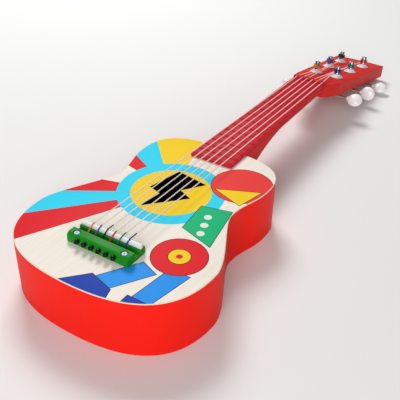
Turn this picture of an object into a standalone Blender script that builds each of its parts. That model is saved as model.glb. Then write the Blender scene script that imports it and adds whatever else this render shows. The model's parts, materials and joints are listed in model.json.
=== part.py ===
"""Small six-string guitar for a child, lying on its back, strings up.

Hollow plywood body with a bolt-shaped sound hole, one-piece neck and tilted head, moulded
fretboard and bridge, and six open worm-and-gear tuning machines under the head.

Y runs from the tail of the body to the tip of the head, +X is the side of the thin strings and
+Z is up. Stations along Y are measured from the tail; the whole guitar hangs on one empty that
puts the origin on the flat back, at the widest line of the lower bout.
"""

import math

import bmesh
import bpy
from mathutils import Euler, Matrix, Vector

# General
JOINT_GAP = 0.0003          # left between pieces that are glued or rest on each other
RUN_GAP = 0.0003            # running clearance round shafts and posts
CUT_OVER = 0.001            # how far a cutter runs past the face it opens
MERGE = 1e-6

# Body: half outline as four curves, from the tail to the neck
BODY_DEPTH = 0.0466
LOWER_BOUT = (0.0790, 0.0615)      # half width and station of the widest line
WAIST = (0.0535, 0.1260)
UPPER_BOUT = (0.0612, 0.1730)
BODY_LENGTH = 0.2100
TAIL_PULL = 0.0430                 # handle lengths of the four curves
LOWER_PULL = (0.0500, 0.0175)
WAIST_PULL = (0.0127, 0.0210)
UPPER_PULL = 0.0230
SHOULDER_BULGE = 1.08108           # handle from the upper bout, by its distance to the neck's end
SHOULDER_PULL = 0.0200
OUTLINE_STEPS = 10                 # points along each curve
PLATE = 0.0028                     # top and back plywood
RIB = 0.0026
SOUND_HOLE = [                     # bolt figure, clockwise from its head-side left corner
    (-0.0136, 0.1553), (0.0156, 0.1502), (0.0030, 0.1325), (0.0154, 0.1268),
    (-0.0113, 0.0976), (-0.0084, 0.1197), (-0.0203, 0.1233),
]
NECK_BLOCK = (0.050, 0.030)        # width across and length along the guitar
TAIL_BLOCK = (0.040, 0.016)
BRACE = (0.006, 0.009)             # thickness and height
BRACE_TOE = (0.014, 0.003)         # length and height of the thinned ends
UPPER_BRACES = {"top_brace_upper": 0.0091, "back_brace_upper": 0.0171}   # from the neck block
LOWER_BRACES = {"top_brace_lower": 0.0225, "back_brace_lower": 0.0105}   # from the widest line
BRIDGE_PLATE = (0.066, 0.026, 0.0025)

# Neck and fretboard
NUT_STATION = 0.3854               # head side of the nut
NUT_LENGTH = 0.0042
NUT_HALF = 0.0181
BOARD_END = 0.1824                 # tail end of the fretboard
BOARD_END_HALF = 0.0199
BOARD = 0.0023
NECK_DEPTH = 0.0125                # below the soundboard's plane, at the nut
NECK_DEPTH_GAIN = -0.0010          # less at the body, under the heel's sweep
HEEL_LENGTH = 0.075
HEEL_FLOOR = 0.0060                # underside of the heel above the back's face
HEEL_SWEEP = 1.4                   # how fast the slim neck drops into the heel
HEEL_SECTIONS = 7
HEEL_CROWDING = 1.3                # heel sections stand closer towards the body
SHAFT_SECTIONS = 4
NECK_OVERRUN = 0.0030              # last section's place beyond the nut, inside the head
NECK_SIDES = 10
NECK_FULLNESS = 1.0                # power of the section's round: 1 is a half ellipse,
HEEL_FULLNESS = 0.5                # and less is squarer
FRET_SCALE = 0.3537
FRET_COUNT = 14
FRET = (0.0018, 0.0009, 0.0007)    # width at the foot and the crown, height

# Head, in its own tilted frame: y from the nut, z up from its face
HEAD_TILT = math.radians(10.5)
HEAD_FACE_RISE = 0.0009            # face above the soundboard's plane, at the nut
HEAD_THICKNESS = 0.0135
HEAD_LENGTH = 0.1665
HEAD_FLARE = 0.0008                # head wider than the neck's end, each side
HEAD_SHOULDER = (0.0256, 0.0220)   # half width and station of the shoulder's corner
HEAD_TIP_HALF = 0.0310
HEAD_TIP_ARCH = 0.0030
HEAD_TIP_STEPS = 4
HEAD_ROOT = 0.0030                 # how far the head's block reaches back under the nut
HEAD_BEVEL = 0.0012

# Tuning machines
POST_FIRST = 0.0464                # first row from the nut
POST_LAST = 0.0361                 # last row from the head's tip
POST_HALF = 0.0123                 # half the distance across the first row
POST_FAN = 0.00095                 # more on each row
POST_RADIUS = 0.0030
POST_TOP = 0.0122
POST_CHAMFER = 0.0008
BUSH_FLANGE = (0.0069, 0.0010)     # radius and thickness
BUSH_EDGE = (0.0008, 0.0006)       # bevel of the flange's rim, inwards and down
BUSH_FOOT = 0.0004                 # hub's foot above the flange
BUSH_HUB = (0.0044, 0.0038)        # radius at its foot and height of its mouth
BUSH_WALL = 0.0010
BUSH_DEPTH = 0.0110
MACHINE_PLATE = 0.0010
MACHINE_PLATE_HALF = 0.0078
MACHINE_PLATE_HEEL = 0.0090        # beyond the post, away from the worm
MACHINE_PLATE_MARGIN = 0.0006      # beyond the lugs
MACHINE_PLATE_CORNER = 0.0015
LUG = (0.0034, 0.0011)             # half width and thickness
LUG_DROP = 0.0029                  # below the shaft's axis
GEAR_TEETH = 14
GEAR_MODULE = 0.00075
GEAR_ADDENDUM = 0.00060
GEAR_DEDENDUM = 0.00080
GEAR_FACE = 0.0032
GEAR_BACKLASH = 0.00012            # off each flank
WORM_PITCH_RADIUS = 0.0021
WORM_LENGTH = 0.0070
WORM_SEGMENTS = 10
PRESSURE = math.radians(20)
SHAFT_RADIUS = 0.0015
COLLAR = (0.0024, 0.0008)          # radius and thickness
LUG_OFFSET = 0.0064                # lug's middle from the post's axis
SHAFT_TAIL = 0.0010                # shaft beyond the inner lug
SHAFT_HEAD = 0.0010                # shaft beyond the button's middle, inside it
BUTTON_REACH = 0.0284              # button's middle from the post's axis
BUTTON = (0.0160, 0.0157, 0.0086)  # length along the shaft, width, thickness
BUTTON_NECK = (0.0024, 0.0027, 0.0090)   # radii at its ends, and start before the middle
BUTTON_TURNS = {                   # how far each button is turned, in degrees
    "left_1": 20, "left_2": 75, "left_3": 40,
    "right_1": 45, "right_2": 85, "right_3": 35,
}
CAP_SCREW = (0.0024, 0.0009)       # gear's end screw: radius and height
SHOULDER_RADIUS = 0.0040           # of the post, between plate and gear

# Bridge, saddle and strings
BRIDGE_TAIL = 0.0340
BRIDGE_HALF = 0.0265
BLOCK_LENGTH = 0.0080
BLOCK_HEIGHT = 0.0076
BLOCK_ROUND = 0.0035               # the block's rounded edge above the string balls
BLOCK_ROUND_STEPS = 4
DECK_HEIGHT = 0.0030
RAIL_LENGTH = 0.0062
RAIL_HEIGHT = 0.0056
SADDLE_STATION = 0.0506
SADDLE = (0.0026, 0.0520)          # thickness and length
SADDLE_FLOOR = 0.0014
STRING_RADIUS = 0.00048
STRING_BORE = 0.00085
STRING_AT_BLOCK = (0.0158, 0.0050)   # half spread and height above the soundboard
STRING_AT_SADDLE = (0.0161, 0.0099)
STRING_AT_NUT = (0.0146, 0.0014)     # half spread and height above the fretboard
NUT_RISE = 0.0024
NUT_INSET = 0.0001                 # ends inside the neck's sides
NUT_SLOT = 0.0013
BEND_RADIUS = 0.0023
STRING_LEAVE = 0.0008              # straight beyond the block before the string climbs
BALL = (0.0019, 0.0008)            # radius, and radius of the bore
STRING_STUB = 0.0006               # string showing past the ball
SCREW_HALF = 0.0208                # bridge screws
SCREW_STATION = 0.0382
SCREW = (0.0026, 0.0014, 0.0110)   # head and shank radius, shank length below the head
SCREW_HEAD = 0.0016
SCREW_EDGE = (0.0004, 0.0003)      # bevel of the head, inwards and down
SCREW_SUNK = 0.0006
WRAP_START = 0.0050                # middle of the lowest turn above the head's face
WRAP_TURNS = 2.5
WRAP_PITCH = 0.00148
WRAP_SEGMENTS = 24
HOOK_RADIUS = 0.0008
HOOK_SWING = 7                     # steps over which the end swings out from the post

COLOURS = {                        # base colour, roughness, metallic
    "birch": ((0.80, 0.66, 0.45), 0.55, 0.0),
    "spruce": ((0.72, 0.58, 0.38), 0.65, 0.0),
    "orange_red": ((0.83, 0.055, 0.012), 0.35, 0.0),
    "crimson": ((0.55, 0.022, 0.035), 0.40, 0.0),
    "green": ((0.012, 0.25, 0.015), 0.35, 0.0),
    "white": ((0.85, 0.85, 0.83), 0.35, 0.0),
    "pearl": ((0.86, 0.84, 0.78), 0.22, 0.0),
    "black": ((0.012, 0.012, 0.012), 0.30, 0.0),
    "nylon": ((0.90, 0.84, 0.78), 0.30, 0.0),
    "chrome": ((0.75, 0.75, 0.76), 0.15, 1.0),
    "steel": ((0.50, 0.50, 0.51), 0.35, 1.0),
}

# Sizes that follow from the ones above
TOP = BODY_DEPTH                                  # upper face of the soundboard
UNDER_TOP = TOP - PLATE - JOINT_GAP
OVER_BACK = PLATE + JOINT_GAP
INNER = RIB + JOINT_GAP                           # from the outline to what fits inside it
BOARD_TOP = TOP + JOINT_GAP + BOARD
NUT_FACE = NUT_STATION - NUT_LENGTH               # tail side of the nut
NECK_START = BODY_LENGTH + JOINT_GAP
HEAD_UNDER = -HEAD_THICKNESS
POST_PITCH = (HEAD_LENGTH - POST_LAST - POST_FIRST) / 2
NECK_BLOCK_FACE = BODY_LENGTH - INNER - NECK_BLOCK[1]   # side of the neck block towards the tail
POST_BORE = POST_RADIUS + RUN_GAP
BUSH_SLEEVE = POST_BORE + BUSH_WALL
PLATE_UNDER = HEAD_UNDER - JOINT_GAP - MACHINE_PLATE
WORM_TIP = WORM_PITCH_RADIUS + GEAR_ADDENDUM
GEAR_RADIUS = GEAR_MODULE * GEAR_TEETH / 2
GEAR_CENTRES = GEAR_RADIUS + WORM_PITCH_RADIUS
WORM_LEAD = math.pi * GEAR_MODULE
WORM_LEVEL = PLATE_UNDER - RUN_GAP - WORM_TIP     # height of the worm's axis
LUG_INNER = LUG_OFFSET - LUG[1] / 2
LUG_OUTER = LUG_OFFSET + LUG[1] / 2
BRIDGE_BASE = TOP + JOINT_GAP
BLOCK_FACE = BRIDGE_TAIL + BLOCK_LENGTH           # head side of the front block
BRIDGE_HEAD = SADDLE_STATION + RAIL_LENGTH / 2
WRAP_RADIUS = POST_RADIUS + RUN_GAP + STRING_RADIUS
WRAP_STEPS = round(WRAP_TURNS * WRAP_SEGMENTS)
WRAP_END = WRAP_START + WRAP_PITCH * (WRAP_STEPS + HOOK_SWING) / WRAP_SEGMENTS
HEAD_ORIGIN = Vector((0, NUT_STATION, TOP + HEAD_FACE_RISE))
HEAD_FRAME = Matrix.Translation(HEAD_ORIGIN) @ Euler((-HEAD_TILT, 0, 0)).to_matrix().to_4x4()

SIDES = {"left": -1, "right": 1}
ROWS = (1, 2, 3)
STRING_MACHINES = ("left_1", "left_2", "left_3", "right_3", "right_2", "right_1")


# Scene, materials and objects

def clear_scene():
    for item in list(bpy.data.objects):
        bpy.data.objects.remove(item, do_unlink=True)


def collection(name):
    group = bpy.data.collections.new(name)
    bpy.context.scene.collection.children.link(group)
    return group


def paint(name, colour):
    rgb, roughness, metallic = COLOURS[colour]
    material = bpy.data.materials.new(name)
    material.use_nodes = True
    shader = material.node_tree.nodes["Principled BSDF"]
    shader.inputs["Base Color"].default_value = (*rgb, 1.0)
    shader.inputs["Roughness"].default_value = roughness
    shader.inputs["Metallic"].default_value = metallic
    material.diffuse_color = (*rgb, 1.0)
    return material


def piece(name, data, colour, parent, location=(0, 0, 0), rotation=(0, 0, 0)):
    """One named part, with its own material, under its parent empty."""
    item = bpy.data.objects.new(name, data)
    PARTS.objects.link(item)
    item.parent = parent
    item.location = location
    item.rotation_euler = rotation
    if data.materials:
        item.material_slots[0].link = "OBJECT"
        item.material_slots[0].material = paint(name, colour)
    else:
        data.materials.append(paint(name, colour))
    return item


def empty(name, parent=None, location=(0, 0, 0), rotation=(0, 0, 0)):
    item = bpy.data.objects.new(name, None)
    PARTS.objects.link(item)
    item.empty_display_size = 0.01
    item.parent = parent
    item.location = location
    item.rotation_euler = rotation
    return item


def helper(name, data, location=(0, 0, 0), rotation=(0, 0, 0)):
    """A cutter or a shape on its way to becoming a mesh; never part of the guitar."""
    item = bpy.data.objects.new(name, data)
    CUTTERS.objects.link(item)
    item.hide_render = True
    item.display_type = "WIRE"
    item.location = location
    item.rotation_euler = rotation
    return item


def baked(item, name, *cutters):
    """The evaluated mesh of a helper, which is removed with its cutters."""
    bpy.context.view_layer.update()
    graph = bpy.context.evaluated_depsgraph_get()
    mesh = bpy.data.meshes.new_from_object(item.evaluated_get(graph))
    mesh.name = name
    mesh.transform(item.matrix_world)
    work = bmesh.new()
    work.from_mesh(mesh)
    bmesh.ops.remove_doubles(work, verts=work.verts, dist=MERGE)
    work.to_mesh(mesh)
    work.free()
    for used in (item, *cutters):
        bpy.data.objects.remove(used, do_unlink=True)
    return mesh


def boolean(item, operation, other):
    cut = item.modifiers.new(other.name, "BOOLEAN")
    cut.operation = operation
    cut.object = other
    cut.solver = "EXACT"


def smooth(mesh, angle=35):
    mesh.shade_smooth()
    mesh.set_sharp_from_angle(angle=math.radians(angle))
    return mesh


# Shapes

def bezier(p0, p1, p2, p3, t):
    s = 1 - t
    return s * s * s * p0 + 3 * s * s * t * p1 + 3 * s * t * t * p2 + t * t * t * p3


def bezier_slope(p0, p1, p2, p3, t):
    s = 1 - t
    return 3 * s * s * (p1 - p0) + 6 * s * t * (p2 - p1) + 3 * t * t * (p3 - p2)


def half_outline(inset=0.0):
    """Right half of the body's outline, tail to neck, moved inwards by the inset."""
    tail, neck = Vector((0, 0)), Vector((0, BODY_LENGTH))
    lower, waist, upper = Vector(LOWER_BOUT), Vector(WAIST), Vector(UPPER_BOUT)
    along = Vector((0, 1))
    across = Vector((1, 0))
    curves = [
        (tail, tail + TAIL_PULL * across, lower - LOWER_PULL[0] * along, lower),
        (lower, lower + LOWER_PULL[1] * along, waist - WAIST_PULL[0] * along, waist),
        (waist, waist + WAIST_PULL[1] * along, upper - UPPER_PULL * along, upper),
        (upper, upper + SHOULDER_BULGE * (neck.y - upper.y) * along,
         neck + SHOULDER_PULL * across, neck),
    ]
    points = []
    for curve in curves:
        for step in range(OUTLINE_STEPS):
            points.append((curve, step / OUTLINE_STEPS))
    points.append((curves[-1], 1.0))
    result = []
    for curve, t in points:
        slope = bezier_slope(*curve, t).normalized()
        result.append(bezier(*curve, t) + inset * Vector((-slope.y, slope.x)))
    return result


def mirrored_loop(half):
    """A closed loop from a half outline whose ends lie on the middle line."""
    return half + [Vector((-p.x, p.y)) for p in reversed(half[1:-1])]


def half_width(station, inset=0.0):
    """Half width of the body at a station, between its widest and narrowest lines."""
    half = half_outline(inset)
    for a, b in zip(half, half[1:]):
        if a.y <= station <= b.y:
            return a.x + (b.x - a.x) * (station - a.y) / (b.y - a.y)
    raise ValueError("station is off the body")


def circle(x, y, radius, sides=8):
    return [
        Vector((x + radius * math.cos(2 * math.pi * i / sides),
                y + radius * math.sin(2 * math.pi * i / sides)))
        for i in range(sides)
    ]


def flat_curve(name, loops, thickness):
    """A flat 2D curve, filled, with the loops after the first as holes."""
    curve = bpy.data.curves.new(name, "CURVE")
    curve.dimensions = "2D"
    curve.fill_mode = "BOTH"
    curve.extrude = thickness / 2
    for loop in loops:
        spline = curve.splines.new("POLY")
        spline.points.add(len(loop) - 1)
        for point, place in zip(spline.points, loop):
            point.co = (place[0], place[1], 0, 1)
        spline.use_cyclic_u = True
    return curve


def tube_curve(name, points, radius, bevel_resolution=1):
    curve = bpy.data.curves.new(name, "CURVE")
    curve.dimensions = "3D"
    curve.bevel_depth = radius
    curve.bevel_resolution = bevel_resolution
    curve.use_fill_caps = True
    spline = curve.splines.new("POLY")
    spline.points.add(len(points) - 1)
    for point, place in zip(spline.points, points):
        point.co = (*place, 1)
    return curve


def turned_helper(name, profile, steps):
    """A profile of (radius, height) pairs, top to bottom, turned about Z."""
    mesh = bpy.data.meshes.new(name)
    points = [(radius, 0, height) for radius, height in profile]
    mesh.from_pydata(points, [(i, i + 1) for i in range(len(points) - 1)], [])
    item = helper(name, mesh)
    turn = item.modifiers.new("turn", "SCREW")
    turn.steps = turn.render_steps = steps
    turn.use_merge_vertices = True
    turn.merge_threshold = MERGE
    return item


def ring_profile(profile):
    """Closes a profile on itself, for a turned piece with a bore."""
    return profile + profile[:1]


def box_mesh(name, low, high):
    work = bmesh.new()
    bmesh.ops.create_cube(work, size=1)
    size = Vector(high) - Vector(low)
    middle = (Vector(high) + Vector(low)) / 2
    bmesh.ops.scale(work, vec=size, verts=work.verts)
    bmesh.ops.translate(work, vec=middle, verts=work.verts)
    mesh = bpy.data.meshes.new(name)
    work.to_mesh(mesh)
    work.free()
    return mesh


def cylinders_mesh(name, places, radius, low, high, sides, axis="Z"):
    """Separate cylinders of one size, standing at places in the plane square to the axis."""
    turn = Matrix() if axis == "Z" else Matrix.Rotation(math.radians(-90), 4, "X")
    work = bmesh.new()
    for a, b in places:
        middle = (low + high) / 2
        spot = (a, b, middle) if axis == "Z" else (a, middle, b)
        bmesh.ops.create_cone(
            work, cap_ends=True, segments=sides, radius1=radius, radius2=radius,
            depth=high - low, matrix=Matrix.Translation(spot) @ turn)
    mesh = bpy.data.meshes.new(name)
    work.to_mesh(mesh)
    work.free()
    return mesh


def lofted(name, sections):
    """Skin over closed sections with as many points each, capped at both ends."""
    work = bmesh.new()
    rings = [[work.verts.new(p) for p in section] for section in sections]
    for ring, following in zip(rings, rings[1:]):
        count = len(ring)
        for i in range(count):
            j = (i + 1) % count
            work.faces.new((ring[i], ring[j], following[j], following[i]))
    work.faces.new(reversed(rings[0]))
    work.faces.new(rings[-1])
    bmesh.ops.recalc_face_normals(work, faces=work.faces)
    mesh = bpy.data.meshes.new(name)
    work.to_mesh(mesh)
    work.free()
    return mesh


# Body

def make_plates(guitar):
    loop = mirrored_loop(half_outline())
    screw_holes = [
        circle(side * SCREW_HALF, SCREW_STATION, SCREW[1] + JOINT_GAP) for side in (-1, 1)]
    top = flat_curve("soundboard", [loop, SOUND_HOLE, *screw_holes], PLATE)
    piece("soundboard", top, "birch", guitar, (0, 0, TOP - PLATE / 2))
    piece("back", flat_curve("back", [loop], PLATE), "orange_red", guitar, (0, 0, PLATE / 2))


def make_ribs(guitar):
    """Each rib is the upright band under half the outline, thickened inwards."""
    for side_name, side in SIDES.items():
        band = [Vector((side * max(p.x, JOINT_GAP / 2), p.y)) for p in half_outline()]
        count = len(band)
        points = [(p.x, p.y, z) for z in (OVER_BACK, UNDER_TOP) for p in band]
        faces = [(i, i + 1, count + i + 1, count + i) for i in range(count - 1)]
        if side < 0:
            faces = [tuple(reversed(face)) for face in faces]
        mesh = bpy.data.meshes.new("rib_" + side_name)
        mesh.from_pydata(points, [], faces)
        rib = piece("rib_" + side_name, smooth(mesh), "orange_red", guitar)
        wall = rib.modifiers.new("wall", "SOLIDIFY")
        wall.thickness = RIB
        wall.offset = -1
        wall.use_even_offset = True


def block_loop(half, at_tail, size):
    """Outline of an end block: the rib's inner face on one side, straight on the others."""
    reach = size[0] / 2
    run = half if at_tail else list(reversed(half))
    edge = []
    for a, b in zip(run, run[1:]):
        edge.append(a)
        if b.x >= reach:
            edge.append(a + (b - a) * (reach - a.x) / (b.x - a.x))
            break
    inner = edge[0].y + (size[1] if at_tail else -size[1])
    return mirrored_loop([*edge, Vector((reach, inner)), Vector((0, inner))])


def make_blocks(guitar):
    half = half_outline(INNER)
    height = UNDER_TOP - OVER_BACK
    middle = (0, 0, (UNDER_TOP + OVER_BACK) / 2)
    for name, at_tail, size in (("neck_block", False, NECK_BLOCK), ("tail_block", True, TAIL_BLOCK)):
        block = flat_curve(name, [block_loop(half, at_tail, size)], height)
        piece(name, block, "spruce", guitar, middle)


def brace_mesh(name, station, foot, rise):
    """A bar across the body with thinned ends; rise is +1 on the back and -1 under the top."""
    reach = half_width(station, INNER) - JOINT_GAP - BRACE[0] / 2
    heights = (BRACE_TOE[1], BRACE[1])
    side = [
        (-reach, 0), (reach, 0), (reach, heights[0]), (reach - BRACE_TOE[0], heights[1]),
        (-reach + BRACE_TOE[0], heights[1]), (-reach, heights[0]),
    ]
    return lofted(name, [
        [(x, station + end * BRACE[0] / 2, foot + rise * z) for x, z in side] for end in (-1, 1)])


def make_braces(guitar):
    stations = {name: NECK_BLOCK_FACE - off for name, off in UPPER_BRACES.items()}
    stations.update({name: LOWER_BOUT[1] + off for name, off in LOWER_BRACES.items()})
    for name, station in stations.items():
        foot, rise = (UNDER_TOP, -1) if name.startswith("top") else (OVER_BACK, 1)
        piece(name, brace_mesh(name, station, foot, rise), "spruce", guitar)
    width, length, thickness = BRIDGE_PLATE
    middle = (BRIDGE_TAIL + BRIDGE_HEAD) / 2
    outline = [(-width / 2, middle - length / 2), (width / 2, middle - length / 2),
               (width / 2, middle + length / 2), (-width / 2, middle + length / 2)]
    holes = [circle(side * SCREW_HALF, SCREW_STATION, SCREW[1] + JOINT_GAP) for side in (-1, 1)]
    plate = flat_curve("bridge_plate", [outline, *holes], thickness)
    piece("bridge_plate", plate, "spruce", guitar, (0, 0, UNDER_TOP - thickness / 2))


# Neck, fretboard and nut

def board_half(station):
    """Half width of the fretboard and neck, which taper towards the nut."""
    share = (station - BOARD_END) / (NUT_STATION - BOARD_END)
    return BOARD_END_HALF + (NUT_HALF - BOARD_END_HALF) * share


def heel_share(station):
    """1 at the body, 0 where the heel has run out into the slim neck."""
    return max(0.0, 1 - (station - NECK_START) / HEEL_LENGTH) ** HEEL_SWEEP


def neck_depth(station):
    """Depth under the soundboard's plane: a slim neck that sweeps down into the heel."""
    along = (station - NECK_START) / (NUT_STATION - NECK_START)
    slim = NECK_DEPTH + NECK_DEPTH_GAIN * (1 - along)
    return slim + (TOP - HEEL_FLOOR - slim) * heel_share(station)


def neck_section(station):
    """Flat on top with a half round below, which grows squarer towards the body."""
    half, depth = board_half(station), neck_depth(station)
    fullness = NECK_FULLNESS + (HEEL_FULLNESS - NECK_FULLNESS) * heel_share(station)
    ring = []
    for i in range(NECK_SIDES + 1):
        angle = math.pi * i / NECK_SIDES
        across = math.cos(angle)
        down = math.sin(angle)
        ring.append((half * math.copysign(abs(across) ** fullness, across), station,
                     TOP - depth * down ** fullness))
    return ring


def head_outline():
    """The head's flat outline, from the nut over the shoulder to the arched tip."""
    root = board_half(NUT_STATION)
    half = [
        Vector((0, -HEAD_ROOT)), Vector((root, -HEAD_ROOT)), Vector((root + HEAD_FLARE, 0)),
        Vector(HEAD_SHOULDER),
    ]
    for i in range(HEAD_TIP_STEPS + 1):
        share = 1 - i / HEAD_TIP_STEPS
        half.append(Vector((HEAD_TIP_HALF * share, HEAD_LENGTH - HEAD_TIP_ARCH * share * share)))
    return mirrored_loop(half)


def post_place(row, side):
    """Post's axis on the head's face."""
    across = POST_HALF + (row - 1) * POST_FAN
    return Vector((side * across, POST_FIRST + (row - 1) * POST_PITCH))


def make_neck(guitar):
    near = [NECK_START + HEEL_LENGTH * (i / HEEL_SECTIONS) ** HEEL_CROWDING
            for i in range(HEEL_SECTIONS + 1)]
    run = NUT_STATION + NECK_OVERRUN - near[-1]
    far = [near[-1] + run * i / SHAFT_SECTIONS for i in range(1, SHAFT_SECTIONS + 1)]
    # the last section lies inside the head, under its sloping face
    sections = [neck_section(station) for station in near + far]
    neck = helper("neck_shaft", lofted("neck_shaft", sections))
    slab = flat_curve("head_slab", [head_outline()], HEAD_THICKNESS)
    slab_helper = helper("head_slab", slab, (0, 0, -HEAD_THICKNESS / 2))
    head = helper("head", baked(slab_helper, "head"))
    head.matrix_world = HEAD_FRAME
    edge = head.modifiers.new("edge", "BEVEL")
    edge.width = HEAD_BEVEL
    edge.segments = 1
    edge.limit_method = "ANGLE"
    edge.angle_limit = math.radians(60)
    boolean(neck, "UNION", head)
    places = [post_place(row, side) for side in SIDES.values() for row in ROWS]
    bores = helper("head_bores", cylinders_mesh(
        "head_bores", places, BUSH_SLEEVE + JOINT_GAP, HEAD_UNDER - CUT_OVER, CUT_OVER, 16))
    bores.matrix_world = HEAD_FRAME
    boolean(neck, "DIFFERENCE", bores)
    reach = 2 * NUT_HALF
    notch = helper("nut_seat", box_mesh(
        "nut_seat", (-reach, NUT_FACE, TOP), (reach, NUT_STATION, TOP + HEAD_THICKNESS)))
    boolean(neck, "DIFFERENCE", notch)
    mesh = smooth(baked(neck, "neck", head, bores, notch), 30)
    piece("neck", mesh, "orange_red", guitar)


def fret_stations():
    return [NUT_FACE - FRET_SCALE * (1 - 2 ** (-n / 12)) for n in range(1, FRET_COUNT + 1)]


def make_fretboard(guitar):
    """One moulding: the board's side view with every fret's ridge, drawn out to its taper."""
    low, high = TOP + JOINT_GAP, BOARD_TOP
    foot, crown, rise = FRET
    start, end = BOARD_END, NUT_FACE - JOINT_GAP
    side = [(start, low), (start, high)]
    for station in sorted(fret_stations()):
        side += [(station - foot / 2, high), (station - crown / 2, high + rise),
                 (station + crown / 2, high + rise), (station + foot / 2, high)]
    side += [(end, high), (end, low)]
    sections = [[(x * board_half(y), y, z) for y, z in side] for x in (-1, 1)]
    piece("fretboard", lofted("fretboard", sections), "crimson", guitar)


def string_share(index):
    """-1 for the first string on the left to +1 for the last on the right."""
    return (index - 2.5) / 2.5


def make_nut(guitar):
    """A bar across the end of the fretboard with a slot for each string."""
    low = TOP + JOINT_GAP
    high = BOARD_TOP + NUT_RISE
    floor = BOARD_TOP + STRING_AT_NUT[1] - STRING_RADIUS - JOINT_GAP
    half = board_half(NUT_FACE) - NUT_INSET
    side = [(-half, low), (half, low), (half, high)]
    for index in reversed(range(6)):
        x = STRING_AT_NUT[0] * string_share(index)
        side += [(x + NUT_SLOT / 2, high), (x + NUT_SLOT / 2, floor),
                 (x - NUT_SLOT / 2, floor), (x - NUT_SLOT / 2, high)]
    side.append((-half, high))
    ends = (NUT_FACE, NUT_STATION - JOINT_GAP)
    piece("nut", lofted("nut", [[(x, y, z) for x, z in side] for y in ends]), "crimson", guitar)


# Bridge, saddle, screws and string balls

def make_bridge(guitar):
    """Front block with the string bores, a sunk deck, and the rail that holds the saddle."""
    block_top, deck, rail = (BRIDGE_BASE + h for h in (BLOCK_HEIGHT, DECK_HEIGHT, RAIL_HEIGHT))
    rail_face = SADDLE_STATION - RAIL_LENGTH / 2
    edge = []
    for i in range(BLOCK_ROUND_STEPS + 1):
        angle = math.pi / 2 * i / BLOCK_ROUND_STEPS
        edge.append((BRIDGE_TAIL + BLOCK_ROUND * (1 - math.cos(angle)),
                     block_top - BLOCK_ROUND * (1 - math.sin(angle))))
    side = [
        (BRIDGE_TAIL, BRIDGE_BASE), *edge, (BLOCK_FACE, block_top), (BLOCK_FACE, deck),
        (rail_face, deck), (rail_face, rail), (BRIDGE_HEAD, rail), (BRIDGE_HEAD, BRIDGE_BASE),
    ]
    body = helper("bridge", lofted("bridge", [
        [(x * BRIDGE_HALF, y, z) for y, z in side] for x in (-1, 1)]))
    height = BRIDGE_BASE + STRING_AT_BLOCK[1]
    places = [(STRING_AT_BLOCK[0] * string_share(i), height) for i in range(6)]
    bores = helper("string_bores", cylinders_mesh(
        "string_bores", places, STRING_BORE, BRIDGE_TAIL - CUT_OVER, BLOCK_FACE + CUT_OVER,
        8, "Y"))
    slot_half = SADDLE[0] / 2 + JOINT_GAP
    reach = SADDLE[1] / 2 + JOINT_GAP
    slot = helper("saddle_slot", box_mesh(
        "saddle_slot", (-reach, SADDLE_STATION - slot_half, BRIDGE_BASE + SADDLE_FLOOR),
        (reach, SADDLE_STATION + slot_half, rail + CUT_OVER)))
    head_radius = SCREW[0] + JOINT_GAP
    head_floor = block_top - SCREW_SUNK - SCREW_HEAD - JOINT_GAP
    spots = [(side * SCREW_HALF, SCREW_STATION) for side in (-1, 1)]
    sinks = helper("screw_sinks", cylinders_mesh(
        "screw_sinks", spots, head_radius, head_floor, block_top + CUT_OVER, 16))
    shanks = helper("screw_bores", cylinders_mesh(
        "screw_bores", spots, SCREW[1] + JOINT_GAP, BRIDGE_BASE - CUT_OVER,
        head_floor + JOINT_GAP, 12))
    cutters = (bores, slot, sinks, shanks)
    for cutter in cutters:
        boolean(body, "DIFFERENCE", cutter)
    piece("bridge", baked(body, "bridge", *cutters), "green", guitar)


def make_saddle(guitar):
    """A flat bar with a rounded top for the strings to bend over."""
    low = BRIDGE_BASE + SADDLE_FLOOR + JOINT_GAP
    high = TOP + STRING_AT_SADDLE[1] - STRING_RADIUS - JOINT_GAP
    half = SADDLE[0] / 2
    top = [(half * math.cos(a), high - half + half * math.sin(a))
           for a in (math.pi * i / 6 for i in range(7))]
    side = [(-half, low), (half, low), *top]
    ends = (-SADDLE[1] / 2, SADDLE[1] / 2)
    mesh = lofted("saddle", [[(x, SADDLE_STATION + y, z) for y, z in side] for x in ends])
    piece("saddle", smooth(mesh), "white", guitar)


def make_bridge_screws(guitar):
    head, shank, length = SCREW
    inwards, down = SCREW_EDGE
    top = BRIDGE_BASE + BLOCK_HEIGHT - SCREW_SUNK
    profile = [
        (0, 0), (head - inwards, 0), (head, -down), (head, -SCREW_HEAD), (shank, -SCREW_HEAD),
        (shank, -SCREW_HEAD - length), (0, -SCREW_HEAD - length - shank),
    ]
    mesh = smooth(baked(turned_helper("bridge_screw", profile, 12), "bridge_screw"))
    for side_name, side in SIDES.items():
        piece("bridge_screw_" + side_name, mesh, "chrome", guitar,
              (side * SCREW_HALF, SCREW_STATION, top))


def string_on_block(index, station):
    return Vector((STRING_AT_BLOCK[0] * string_share(index), station,
                   BRIDGE_BASE + STRING_AT_BLOCK[1]))


def make_balls(guitar):
    """The balls that stop the strings against the block's tail face, each with a bore."""
    radius, bore = BALL
    reach = math.sqrt(radius ** 2 - bore ** 2)
    half_arc = math.acos(bore / radius)
    arc = [half_arc * side for side in (1, 0.5, 0, -0.5, -1)]
    profile = [(radius * math.cos(a), radius * math.sin(a)) for a in arc]
    mesh = smooth(baked(turned_helper("string_ball", ring_profile(profile), 10), "string_ball"))
    for index in range(6):
        place = string_on_block(index, BRIDGE_TAIL - JOINT_GAP - reach)
        piece(f"string_ball_{index + 1}", mesh, "black", guitar, place, (math.radians(90), 0, 0))


# Strings

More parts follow.
